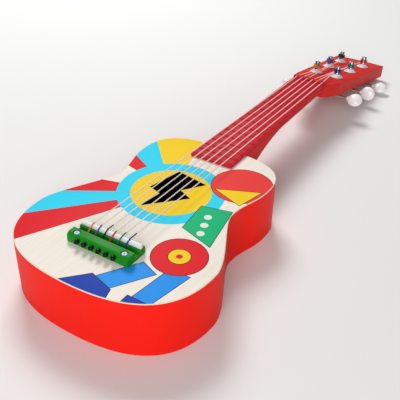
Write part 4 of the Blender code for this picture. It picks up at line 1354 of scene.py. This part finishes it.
@dataclass
class Bridge(Assembly):
    """The moulded bridge with its saddle, two screws and the beads that stop the strings."""

    base: float = TOP_FACE + GAP
    half: float = 0.0265
    block_length: float = 0.0080
    block_height: float = 0.0076
    round_edge: float = 0.0035
    round_steps: int = 12
    soft_edge: float = 0.00028
    deck: float = 0.0030
    rail_length: float = 0.0062
    rail: float = 0.0056
    saddle: float = -0.0109
    saddle_size: Pair = (0.0026, 0.0520)  # width, length
    saddle_floor: float = 0.0014
    saddle_top: float = 0.05572
    saddle_steps: int = 16
    saddle_edge: float = 0.0003
    bore: float = 0.00085
    screw: Triple = (0.0026, 0.0014, 0.0110)  # radii, shank's length
    screw_head: float = 0.0016
    screw_dome: Pair = (0.0006, 0.0005)  # width, fall
    screw_edge: float = 0.0004
    screw_sunk: float = 0.0006
    screw_turn: float = 25.0  # of the recess, in degrees
    seat_gap: float = 0.00012  # round a screw's head
    recess: Triple = (0.00105, 0.00018, 0.0005)  # half arm, half width, depth
    bead_steps: int = 16

    @staticmethod
    def screw_place(side: Side, height: float) -> Matrix:
        """The axis of one side's screw, at a height."""
        x, y = BRIDGE_SCREWS
        return Matrix.Translation((side.value * x, y, height))

    def make_moulding(self) -> None:
        """Front block with the string bores, a sunk deck and the rail for the saddle."""
        block_top, deck, rail = (self.base + h for h in (self.block_height, self.deck, self.rail))
        front, head = BRIDGE_TAIL + self.block_length, self.saddle + self.rail_length / 2
        rail_face = self.saddle - self.rail_length / 2
        nose = [(BRIDGE_TAIL + self.round_edge * (1 - math.cos(a)),
                 block_top - self.round_edge * (1 - math.sin(a)))
                for a in spaced(math.pi / 2, self.round_steps)]
        side = [(BRIDGE_TAIL, self.base), *nose, (front, block_top), (front, deck),
                (rail_face, deck), (rail_face, rail), (head, rail), (head, self.base)]
        rings = [[Vector((x * self.half, y, z)) for y, z in side] for x in (-1, 1)]
        body = object_from("bridge", lofted("bridge", rings))
        tools = []
        lying = Euler((math.radians(-90), 0, 0)).to_matrix().to_4x4()
        for i in range(len(STRING_MACHINES)):
            hole = cylinder("string_bore", self.bore, -CUT_OVER, self.block_length + CUT_OVER, 24)
            spot = (BORE_SPREAD * string_share(i), BRIDGE_TAIL, BORE_LEVEL)
            tools.append(object_from("string_bore", hole, Matrix.Translation(spot) @ lying))
        wide, long = (size / 2 + GAP for size in self.saddle_size)
        tools.append(object_from("saddle_slot", block(
            "saddle_slot", (-long, self.saddle - wide, self.base + self.saddle_floor),
            (long, self.saddle + wide, rail + CUT_OVER))))
        floor = block_top - self.screw_sunk - self.screw_head - GAP
        for side_of in Side:
            place = self.screw_place(side_of, 0)
            sink = cylinder("sink", self.screw[0] + self.seat_gap, floor, block_top + CUT_OVER)
            shank = cylinder("shank", self.screw[1] + GAP, self.base - CUT_OVER,
                             floor + CUT_OVER / 2, 24)
            tools += [object_from("sink", sink, place), object_from("shank", shank, place)]
        cut = object_from("bridge_moulding", combined(body, "DIFFERENCE", tools))
        self.place("bridge_moulding", eased(cut, self.soft_edge), [GREEN_MOULDING], ROOT,
                   ("bridge",))

    def make_saddle(self) -> None:
        """A white bar with a round top."""
        low, half = self.base + self.saddle_floor + GAP, self.saddle_size[0] / 2
        arc = [(half * math.cos(a), self.saddle_top - half + half * math.sin(a))
               for a in spaced(math.pi, self.saddle_steps)]
        side = [(-half, low), (half, low), *arc]
        rings = [[Vector((x * self.saddle_size[1] / 2, self.saddle + y, z)) for y, z in side]
                 for x in (-1, 1)]
        bar = object_from("saddle_bar", lofted("saddle_bar", rings))
        self.place("saddle_bar", eased(bar, self.saddle_edge, corner=50.0), [WHITE_MOULDING], ROOT,
                   ("saddle",))

    def make_screws(self) -> None:
        """Two sunk pan-head screws with a cross recess."""
        head, shank, length = self.screw
        top = self.base + self.block_height - self.screw_sunk
        profile = [(0, 0), (head - self.screw_dome[0], 0), (head, -self.screw_dome[1]),
                   (head, -self.screw_head), (shank, -self.screw_head),
                   (shank, -self.screw_head - length), (0, -self.screw_head - length - shank)]
        for side in Side:
            name = f"bridge_screw_{side.name.lower()}"
            place = self.screw_place(side, top)
            turn = Matrix.Rotation(math.radians(self.screw_turn * side.value), 4, "Z")
            screw = object_from(name, turned(name, soft_profile(profile, self.screw_edge)), place)
            tools = []
            for x, y in (self.recess[:2], self.recess[1::-1]):
                slot = block("recess", (-x, -y, -self.recess[2]), (x, y, CUT_OVER))
                tools.append(object_from("recess", slot, place @ turn))
            self.place("driven_" + name, combined(screw, "DIFFERENCE", tools), [BRIGHT_SCREW],
                       ROOT, (name,))

    def make_beads(self) -> None:
        """Six black beads, each bored for its string."""
        start = math.acos(BEAD_BORE / BEAD_RADIUS)
        profile = [(BEAD_RADIUS * math.cos(start - a), BEAD_RADIUS * math.sin(start - a))
                   for a in spaced(2 * start, self.bead_steps)]
        for i in range(len(STRING_MACHINES)):
            spot = (BORE_SPREAD * string_share(i), BRIDGE_TAIL - GAP - BEAD_REACH, BORE_LEVEL)
            mesh = turned("bead", profile, 32, hollow=True)
            mesh.transform(Matrix.Translation(spot) @ Matrix.Rotation(math.radians(90), 4, "X"))
            self.place(f"string_bead_{i + 1}", mesh, [BLACK_BEAD], ROOT, (f"string_ball_{i + 1}",))

    def make(self) -> None:
        """Builds the bridge and what is on it."""
        self.make_moulding()
        self.make_saddle()
        self.make_screws()
        self.make_beads()


# Strings and tuning machines

class Stretch(Enum):
    """The stretches of a string, by the number of their material."""

    CLEAR = 0
    DYED = 1
    SEALED = 2


@dataclass
class StringSet(Assembly):
    """Six strings: dyed at both ends, clear between, wound on their posts."""

    head_frame: Matrix
    dyed: float = 0.00048
    clear: float = 0.00042
    stub: float = 0.0006  # of string beyond the bead
    stub_share: float = 0.7
    block_face: float = -0.0195
    leave: float = 0.0008  # from the block to the string's first bend
    saddle: Triple = (0.0161, -0.0109, 0.05643)  # the outer string's point
    nut: Triple = (0.0146, 0.3218, 0.0506)
    bend: float = 0.0023
    wrap_start: float = 0.0050  # height above the head's face
    wrap_pitch: float = 0.00148
    wrap_turns: float = 2.5
    segments: int = 48
    swing: int = 14  # segments in which the winding widens to its hook
    hook: float = 0.0008
    hook_steps: int = 5
    dye_ends: tuple[float, ...] = (-0.0099, -0.0095, -0.0051, -0.0093, -0.0070, -0.0036)
    dye_step: float = 0.001
    sides: int = 12

    def __post_init__(self) -> None:
        """Works out the winding."""
        self.wrap_radius = POST_RADIUS + GAP + self.dyed
        self.wrap_steps = round(self.wrap_turns * self.segments)
        self.wrap_end = self.wrap_start + self.wrap_pitch * (
            self.wrap_steps + self.swing) / self.segments

    @staticmethod
    def touching(start: Vector, centre: Vector, radius: float, turn: int) -> Vector:
        """Where a line from start touches a circle that it then follows.

        Args:
            start: The line's start.
            centre: The circle's centre.
            radius: Its radius.
            turn: +1 where the circle is followed leftwards, -1 where rightwards.

        Returns:
            The point of contact.
        """
        offset = centre - start
        lean = math.asin(radius / offset.length)
        direction = Matrix.Rotation(-turn * lean, 2) @ offset.normalized()
        return start + direction * math.sqrt(offset.length_squared - radius ** 2)

    def winding(self, centre: Vector, contact: Vector, turn: int) -> tuple[list[Vector], Vector]:
        """Turns round the post, then a hook that ends square to the post's bore.

        Args:
            centre: The post's axis on the head's face.
            contact: Where the string meets the post.
            turn: The way round.

        Returns:
            The points in the head's frame, and the way that the end points.
        """
        first = math.atan2(contact.y - centre.y, contact.x - centre.x)
        entry = POST_RADIUS + GAP
        outer = entry + 2 * self.dyed + self.hook
        points = []
        for i in range(self.wrap_steps + self.swing + 1):
            t = max(0, i - self.wrap_steps) / self.swing
            radius = self.wrap_radius + (outer - self.wrap_radius) * t * t * (3 - 2 * t)
            angle = first + turn * 2 * math.pi * i / self.segments
            points.append(Vector((centre.x + radius * math.cos(angle),
                                  centre.y + radius * math.sin(angle),
                                  self.wrap_start + self.wrap_pitch * i / self.segments)))
        inward = Vector((-math.cos(angle), -math.sin(angle), 0))
        onward = Vector((-math.sin(angle), math.cos(angle), 0)) * turn
        pivot = points[-1] + inward * self.hook
        for bend in spaced(math.pi / 2, self.hook_steps)[1:]:
            points.append(pivot + self.hook * (math.sin(bend) * onward - math.cos(bend) * inward))
        to_axis = Vector((centre.x, centre.y, self.wrap_end)) - points[-1]
        toward = to_axis.normalized()
        points.append(points[-1] + toward * (to_axis.length - entry))
        return points, toward

    def route(self, index: int) -> tuple[list[Vector], int, Vector]:
        """One string's line from past its bead to the end of its winding.

        Args:
            index: The string, from 0 on the bass side.

        Returns:
            The points, the number of the first point of the winding, and the end's direction.
        """
        label, share = STRING_MACHINES[index], string_share(index)
        side, x = hand_of(label), BORE_SPREAD * share
        tail = Vector((x, BRIDGE_TAIL - GAP - 2 * BEAD_REACH - self.stub, BORE_LEVEL))
        leave = Vector((x, self.block_face + self.leave, BORE_LEVEL))
        saddle, nut = (Vector((place[0] * share, *place[1:])) for place in (self.saddle, self.nut))
        flat = self.head_frame.inverted() @ nut
        start, turn, centre = flat.to_2d(), -side, post_places()[label]
        stations = [start]
        if not label.endswith("1"):
            near = post_places()[label[:-1] + "1"]
            clear = near.x - side * (self.wrap_radius + 2 * self.dyed + GAP)
            straight = self.touching(start, centre, self.wrap_radius, turn)
            passing = start.lerp(straight, (near.y - start.y) / (straight.y - start.y)).x
            if side * passing > side * clear:
                stations.append(Vector((clear, near.y)))
        contact = self.touching(stations[-1], centre, self.wrap_radius, turn)
        lead = []
        for spot in stations[1:]:
            rise = (spot.y - start.y) / (contact.y - start.y)
            lead.append(Vector((*spot, flat.z + (self.wrap_start - flat.z) * rise)))
        wrap, toward = self.winding(centre, contact, turn)
        corners = [tail, leave, saddle, nut, *(self.head_frame @ p for p in lead),
                   self.head_frame @ wrap[0]]
        line = filleted(corners, self.bend, 6)
        line.insert(1, tail.lerp(leave, self.stub_share))
        return line + [self.head_frame @ p for p in wrap[1:]], len(line) - 1, toward

    def tube(self, name: str, line: list[Vector], kinds: list[Stretch]) -> Mesh:
        """A closed tube along a line, each stretch with its own material.

        Args:
            name: The mesh's name.
            line: The points.
            kinds: What each point's stretch onwards is.

        Returns:
            The mesh.
        """
        work = bmesh.new()
        rings, normal = [], Vector((1, 0, 0))
        for i, point in enumerate(line):
            tangent = (line[min(i + 1, len(line) - 1)] - line[max(i - 1, 0)]).normalized()
            normal = (normal - tangent * normal.dot(tangent)).normalized()
            other = tangent.cross(normal)
            radius = self.clear if kinds[i] is Stretch.CLEAR else self.dyed
            rings.append([work.verts.new(
                point + radius * (math.cos(a) * normal + math.sin(a) * other))
                for a in turns(self.sides)])
        for i, face in enumerate(skinned(work, rings)):
            face.material_index = kinds[i // self.sides].value
        for end in (0, -1):
            work.faces.new(rings[end]).material_index = kinds[end].value
        return mesh_of(work, name, WELD / 10)

    def split(self, line: list[Vector], y: float) -> tuple[list[Vector], int]:
        """Adds a pair of close points where the dye ends.

        Args:
            line: The string's points.
            y: Where the dye ends.

        Returns:
            The points with the pair, and the number of the pair's second point.
        """
        last = next(i for i, point in enumerate(line) if point.y > y)
        before, after = line[last - 1], line[last]
        share = (y - before.y) / (after.y - before.y)
        pair = [before.lerp(after, share), before.lerp(after, share + self.dye_step)]
        return line[:last] + pair + line[last:], last + 1

    def make(self) -> dict[str, Vector]:
        """Builds the strings.

        Returns:
            The way that each string's end points, by machine, for the bore in its post.
        """
        ends = {}
        for index, (dye, colour) in enumerate(STRING_DYES):
            line, wound, toward = self.route(index)
            line, bare = self.split(line, self.dye_ends[index])
            wound += 2
            kinds = [Stretch.DYED if i < bare or i >= wound else Stretch.CLEAR
                     for i in range(len(line))]
            kinds[0] = Stretch.SEALED
            mesh = self.tube("string", line, kinds)
            finish = SmoothFinish(f"{dye}_string_end", Slot.NYLON, colour, colour, gloss=0.3)
            name = f"string_{index + 1}"
            self.place("tuned_" + name, mesh, [CLEAR_NYLON, finish, BLACK_BEAD], ROOT, (name,),
                       smooth=50.0)
            ends[STRING_MACHINES[index]] = toward
        return ends


@dataclass
class TuningMachines(Assembly):
    """Six open machines: bush, post and wheel, plate, worm shaft and button."""

    head_frame: Matrix
    string_ends: dict[str, Vector]
    bore_height: float
    plate: float = 0.0010
    plate_edge: float = 0.00015
    post_top: float = 0.0122
    post_bore: float = 0.00085
    bush: Triple = (0.0069, 0.0010, 0.0038)  # radius, thickness, height
    bush_hub: float = 0.0044
    bush_sleeve: float = 0.0043
    bush_depth: float = 0.0110
    turned_edge: float = 0.0005
    teeth: int = 14
    module: float = 0.00075
    addendum: float = 0.00060
    dedendum: float = 0.00080
    tooth_ease: Pair = (0.0001, 0.00003)  # of the tip's corners
    gear_face: float = 0.0032
    gear_layers: int = 4
    backlash: float = 0.00012
    worm_pitch: float = 0.0021
    worm_length: float = 0.0070
    pressure: float = math.radians(20)
    worm_columns: int = 40
    shaft: float = 0.0015
    chamfer: float = 0.0003
    collar: Pair = (0.0024, 0.0008)  # radius, length
    lug: Pair = (0.0064, 0.0011)  # place along the shaft, thickness
    shaft_tail: float = 0.0010
    cap: Pair = (0.0024, 0.0009)  # radius, height of the end screw
    cap_slot: Triple = (0.0003, 0.01, 0.0004)  # half sizes, depth
    shoulder: float = 0.0040
    button_reach: float = 0.0284
    button: Triple = (0.0160, 0.0157, 0.0086)  # length, width, thickness
    button_neck: Triple = (0.0024, 0.0027, 0.0090)  # radii, start
    button_mouth: Triple = (0.0003, 0.0002, 0.0006)  # inset, rise, clear
    button_steps: tuple[int, int] = (28, 40)  # along, round
    plate_screw: Triple = (0.0017, 0.0008, 0.0005)  # radius, rise, slot
    plate_screw_spot: Pair = (0.0054, 0.0066)  # across and along from the post
    button_turns: tuple[tuple[str, float], ...] = (  # in degrees
        ("left_1", 20), ("left_2", 75), ("left_3", 40),
        ("right_1", 45), ("right_2", 85), ("right_3", 35))

    def __post_init__(self) -> None:
        """Works out the levels of plate, wheel and worm, and half a tooth's thickness."""
        self.plate_under = -HEAD_THICKNESS - GAP - self.plate
        self.worm_tip = self.worm_pitch + self.addendum
        self.worm_level = self.plate_under - GAP - self.worm_tip
        self.gear_radius = self.module * self.teeth / 2
        self.centres = self.gear_radius + self.worm_pitch
        self.lead = math.pi * self.module
        half, slope = self.lead / 4 - self.backlash, math.tan(self.pressure)
        self.foot, self.crest = half + self.dedendum * slope, half - self.addendum * slope

    def make_bush(self, label: str, place: Matrix) -> None:
        """White bush: a gently domed flange, a hub with a rolled mouth, and its sleeve."""
        flange, thick, mouth = self.bush
        bore, top = POST_RADIUS + GAP, GAP + thick
        roll, fall, blend, dome, rim = 0.0006, 0.0012, 0.0005, 0.0008, 0.4 * thick
        profile = [
            (bore, mouth), (bore + roll, mouth), (self.bush_hub - roll, mouth - fall),
            (self.bush_hub, top + blend), (flange - dome, top), (flange, GAP + rim),
            (flange, GAP), (self.bush_sleeve, GAP), (self.bush_sleeve, -self.bush_depth),
            (bore, -self.bush_depth),
        ]
        mesh = turned("bush", soft_profile(profile, self.turned_edge), hollow=True)
        mesh.transform(place)
        self.place("flanged_bush_" + label, mesh, [WHITE_MOULDING], ROOT, ("post_bush_" + label,))

    def wheel(self, hand: int) -> Mesh:
        """The worm wheel, its teeth leaning by the worm's lead."""
        lean = hand * (self.lead / (2 * math.pi * self.worm_pitch)) / self.gear_radius
        root, tip = self.gear_radius - self.dedendum, self.gear_radius + self.addendum
        ease, flare = self.tooth_ease
        flank = [(root, self.foot), (tip - ease, self.crest + flare), (tip, self.crest - ease)]
        tooth = [(radius, -offset) for radius, offset in flank] + flank[::-1]
        rings = []
        for share in spaced(1, self.gear_layers):
            height = self.gear_face * (share - 0.5)
            ring = []
            for n in range(self.teeth):
                middle = -math.pi / 2 + (n + 0.5) * 2 * math.pi / self.teeth + lean * height
                for radius, offset in tooth:
                    angle = middle + offset / radius
                    ring.append(Vector((radius * math.cos(angle), radius * math.sin(angle),
                                        self.worm_level + height)))
            rings.append(ring)
        return lofted("wheel", rings)

    def make_post(self, label: str, hand: int, place: Matrix) -> None:
        """Chrome post with its cross bore, its wheel and the wheel's slotted end screw."""
        cap, cap_height = self.cap
        low = self.worm_level - self.gear_face / 2 - cap_height
        profile = [
            (0, self.post_top), (POST_RADIUS, self.post_top),
            (POST_RADIUS, self.plate_under - GAP),
            (self.shoulder, self.plate_under - GAP), (self.shoulder, self.worm_level),
            (cap, self.worm_level), (cap, low), (0, low),
        ]
        post = object_from("post", turned("post", soft_profile(profile, self.turned_edge)))
        joined = object_from("post", combined(
            post, "UNION", [object_from("wheel", self.wheel(hand))]))
        toward = self.string_ends[label]
        bore = cylinder("bore", self.post_bore, -2 * POST_RADIUS, 2 * POST_RADIUS, 24)
        across = Matrix.Translation((0, 0, self.bore_height)) @ toward.to_track_quat(
            "Z", "X").to_matrix().to_4x4()
        wide, long, deep = self.cap_slot
        slot = block("slot", (-wide, -long, low - CUT_OVER), (wide, long, low + deep))
        mesh = combined(joined, "DIFFERENCE", [
            object_from("bore", bore, across), object_from("slot", slot)])
        mesh.transform(place)
        name = "string_post_" + label
        self.place("turned_" + name, mesh, [CHROME], "post_" + label, (name,))

    def worm_mesh(self, hand: int) -> Mesh:
        """Shaft, two collars and the thread in one skin, a crest facing the wheel.

        Args:
            hand: +1 on the treble side, -1 on the bass side.

        Returns:
            The mesh, about its own axis.
        """
        lug, lug_thick = self.lug
        face = lug - lug_thick / 2 - GAP
        collar_radius, collar = self.collar
        core, end = self.worm_pitch - self.dedendum, self.worm_length / 2
        thread = [(-self.foot, core), (-self.crest, self.worm_tip), (self.crest, self.worm_tip),
                  (self.foot, core)]
        back = -lug - lug_thick / 2 - self.shaft_tail
        before = [(back, self.shaft - self.chamfer), (back + self.chamfer, self.shaft),
                  (-face, self.shaft), (-face, collar_radius), (collar - face, collar_radius),
                  (collar - face, core)]
        after = [(face - collar, core), (face - collar, collar_radius), (face, collar_radius),
                 (face, self.shaft), (self.button_reach, self.shaft)]
        reach = math.ceil(end / self.lead) + 1
        work = bmesh.new()
        skin = []
        for share in spaced(1, self.worm_columns):
            rows = list(before)
            for k in range(-reach, reach + 1):
                for offset, radius in thread:
                    height = self.lead * (k + share) + offset
                    inside = abs(height) < end
                    rows.append((height, radius) if inside else (math.copysign(end, height), core))
            rows += after
            angle = math.pi / 2 + hand * 2 * math.pi * share
            skin.append([work.verts.new((radius * math.cos(angle), radius * math.sin(angle), z))
                         for z, radius in rows])
        for column, following in zip(skin, skin[1:]):
            for i in range(len(column) - 1):
                work.faces.new((column[i], following[i], following[i + 1], column[i + 1]))
        for row in (0, -1):
            work.faces.new([column[row] for column in skin[:-1]])
        return mesh_of(work, "worm")

    def button_mesh(self) -> Mesh:
        """An oval grip that runs down into a round neck, with the bore for the shaft."""
        length, width, thick = self.button
        tip, root, start = self.button_neck
        inset, rise, clear = self.button_mouth
        stations, sides = self.button_steps
        neck_low, low = self.button_reach - start, self.button_reach - length / 2
        rings = [(neck_low, tip - inset, tip - inset), (neck_low + rise, tip, tip)]
        for a in spaced(math.pi, stations)[:-1]:
            z, bulge = self.button_reach - length / 2 * math.cos(a), math.sin(a)
            neck = tip + (root - tip) * (z - low) / (length / 2)
            keep = neck if a < math.pi / 2 else 0.0
            wide = (max(width / 2 * bulge, keep), max(thick / 2 * bulge, keep))
            if z > neck_low + clear:
                rings.append((z, *wide))
        work = bmesh.new()
        rows = [[work.verts.new((deep * math.cos(a), wide * math.sin(a), z))
                 for a in turns(sides)] for z, wide, deep in rings]
        skinned(work, rows)
        pole = work.verts.new((0, 0, self.button_reach + length / 2))
        for k in range(sides):
            work.faces.new((rows[-1][k], rows[-1][(k + 1) % sides], pole))
        work.faces.new(rows[0])
        grip = object_from("button", mesh_of(work, "button"))
        bore = cylinder("bore", self.shaft + TOUCH * 2, neck_low - CUT_OVER, self.button_reach)
        return combined(grip, "DIFFERENCE", [object_from("bore", bore)])

    def make_key(self, label: str, hand: int, place: Matrix) -> None:
        """The worm shaft and the pearly button on its end."""
        body = "key_" + label
        axis = place @ Matrix.Translation((0, -self.centres, self.worm_level)) @ (
            Matrix.Rotation(hand * math.pi / 2, 4, "Y"))
        worm = self.worm_mesh(hand)
        worm.transform(axis)
        self.place("cut_worm_" + label, worm, [ZINC], body, ("worm_shaft_" + label,))
        grip = self.button_mesh()
        turn = math.radians(dict(self.button_turns)[label])
        grip.transform(axis @ Matrix.Rotation(turn, 4, "Z"))
        self.place("pearl_button_" + label, grip, [PEARL], body, ("key_button_" + label,),
                   smooth=50.0)

    def screw_tree(self) -> NodeTree:
        """Puts a slotted dome on each point, for the plates' screws."""
        radius, rise, slot = self.plate_screw
        bar_length, bar_level, widest_turn = 3.0, -1.1, 3.1
        bench, source, target = new_group(
            "plate_screws", "GeometryNodeTree",
            {"Geometry": ("NodeSocketGeometry", None), "Radius": (NUMBER, radius),
             "Rise": (NUMBER, rise), "Slot": (NUMBER, slot), "Seed": ("NodeSocketInt", 4),
             "Material": ("NodeSocketMaterial", None)},
            {"Geometry": "NodeSocketGeometry"})
        take = source.outputs
        ball = bench.add("GeometryNodeMeshUVSphere", {"Segments": 24, "Rings": 12, "Radius": 1.0})
        size = bench.add("ShaderNodeCombineXYZ", {
            "X": take["Radius"], "Y": take["Radius"], "Z": take["Rise"]})
        dome = bench.add("GeometryNodeTransform", {
            "Geometry": ball.outputs[0], "Scale": size.outputs[0]})
        long = bench.math("MULTIPLY", take["Radius"], bar_length)
        bar = bench.add("GeometryNodeMeshCube", {"Size": bench.add("ShaderNodeCombineXYZ", {
            "X": take["Slot"], "Y": long, "Z": take["Rise"]}).outputs[0]})
        lift = bench.add("ShaderNodeCombineXYZ", {
            "Z": bench.math("MULTIPLY", take["Rise"], bar_level)})
        sunk = bench.add("GeometryNodeTransform", {
            "Geometry": bar.outputs[0], "Translation": lift.outputs[0]})
        cut = bench.add("GeometryNodeMeshBoolean", {
            "Mesh 1": dome.outputs[0], "Mesh 2": sunk.outputs[0]}, operation="DIFFERENCE")
        angle = bench.add("FunctionNodeRandomValue", {
            "Min": (0.0, 0.0, 0.0), "Max": (0.0, 0.0, widest_turn), "Seed": take["Seed"]},
            data_type="FLOAT_VECTOR")
        dressed_copies(bench, target, take["Geometry"], cut.outputs[0], take["Material"],
                       Rotation=angle.outputs[0])
        return bench.tree

    def make_plates(self) -> None:
        """The stamped plates with eased edges, and the two screws that hold each."""
        spots, (across, along) = [], self.plate_screw_spot
        for label, (x, y) in post_places().items():
            plate = eased(copy_of("machine_plate_" + label), self.plate_edge, 2)
            self.place("stamped_plate_" + label, plate, [ZINC], ROOT, ("machine_plate_" + label,))
            spots += [(x + side.value * across, y + along, self.plate_under) for side in Side]
        seed = bpy.data.meshes.new("plate_screws")
        seed.from_pydata(spots, [], [])
        mesh = grown("plate_screws", self.screw_tree(), {"Material": self.material(CHROME)}, seed)
        mesh.transform(self.head_frame)
        self.place("plate_screws", mesh, [CHROME], ROOT)

    def make(self) -> None:
        """Builds every machine."""
        for label, spot in post_places().items():
            hand = hand_of(label)
            place = self.head_frame @ Matrix.Translation((*spot, 0))
            self.make_bush(label, place)
            self.make_post(label, hand, place)
            self.make_key(label, hand, place)
        self.make_plates()


# Studio

@dataclass(frozen=True)
class Lamp:
    """A square soft light that faces the guitar: its side in metres, its power in watts."""

    name: str
    spot: Triple
    side: float
    power: float


@dataclass
class Studio:
    """Pale floor, soft lights and the camera at the photograph's angle."""

    floor_half: float = 6.0
    floor_tints: tuple[Colour, Colour] = ((0.84, 0.84, 0.82), (0.88, 0.88, 0.865))
    floor_cloud: float = 1.5
    floor_gloss: float = 0.75
    lamps: tuple[Lamp, ...] = (
        Lamp("key", (-0.75, 0.85, 1.20), 0.6, 17.0), Lamp("fill", (0.60, -1.15, 0.65), 1.0, 15.0))
    aim: Triple = (0.0, 0.1, 0.0)  # what the lamps face
    sky: Colour = (0.97, 0.98, 1.0)
    sky_strength: float = 0.22
    eye: Triple = (0.2378, -0.28365, 0.3258)
    yaw: float = 0.548676
    pitch: float = 0.595305
    roll: float = -0.027642
    lens: float = 58.09  # millimetres, on the sensor's width
    sensor: float = 36.0
    clip_start: float = 0.01

    def make_floor(self) -> None:
        """A wide pale floor under the guitar."""
        work = bmesh.new()
        bmesh.ops.create_grid(work, x_segments=1, y_segments=1, size=self.floor_half)
        floor = object_from("floor", mesh_of(work, "floor"))
        material, bench, shader, position = blank_material("pale_floor")
        cloud = bench.noise(position, self.floor_cloud, 2.0)
        tint = bench.mix(cloud, *(opaque(colour) for colour in self.floor_tints))
        bench.feed(shader, {"Base Color": tint, "Roughness": self.floor_gloss})
        floor.data.materials.append(material)

    def make_lights(self) -> None:
        """A key from behind on the left, a broad fill at the front right, and an even world."""
        for lamp in self.lamps:
            light = bpy.data.lights.new(lamp.name, "AREA")
            light.size = lamp.side
            light.energy = lamp.power
            item = object_from(lamp.name, light)
            item.location = lamp.spot
            item.rotation_euler = (Vector(self.aim) - Vector(lamp.spot)).to_track_quat(
                "-Z", "Y").to_euler()
        world = bpy.data.worlds.new("pale_room")
        world.use_nodes = True
        Bench(world.node_tree).feed(world.node_tree.nodes["Background"], {
            "Color": opaque(self.sky), "Strength": self.sky_strength})
        bpy.context.scene.world = world

    def make_camera(self) -> None:
        """The camera, from the fitted angles."""
        forward = Vector((-math.sin(self.yaw) * math.cos(self.pitch),
                          math.cos(self.yaw) * math.cos(self.pitch), -math.sin(self.pitch)))
        right = Vector((math.cos(self.yaw), math.sin(self.yaw), 0))
        down = forward.cross(right)
        across = math.cos(self.roll) * right + math.sin(self.roll) * down
        below = -math.sin(self.roll) * right + math.cos(self.roll) * down
        turn = Matrix((across, -below, -forward)).transposed().to_4x4()
        data = bpy.data.cameras.new("camera")
        data.lens = self.lens
        data.sensor_width = self.sensor
        data.clip_start = self.clip_start
        camera = object_from("camera", data, Matrix.Translation(self.eye) @ turn)
        bpy.context.scene.camera = camera

    def make(self) -> None:
        """Sets the stage."""
        self.make_floor()
        self.make_lights()
        self.make_camera()
        bpy.context.scene.view_settings.view_transform = "Standard"


def corners(box: tuple[Vector, Vector]) -> list[list[float]]:
    """A box as plain lists."""
    return [list(corner) for corner in box]


def main() -> None:
    """Builds the dressed guitar over its frame."""
    logging.basicConfig(level=logging.INFO, format="%(name)s: %(message)s")
    for item in list(bpy.data.objects):
        bpy.data.objects.remove(item, do_unlink=True)
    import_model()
    effects = Effects()
    Body(effects).make()
    neck = Neck(effects)
    neck.make()
    Bridge(effects).make()
    strings = StringSet(effects, neck.head_frame)
    ends = strings.make()
    TuningMachines(effects, neck.head_frame, ends, strings.wrap_end).make()
    Studio().make()


if __name__ == "__main__":
    main()
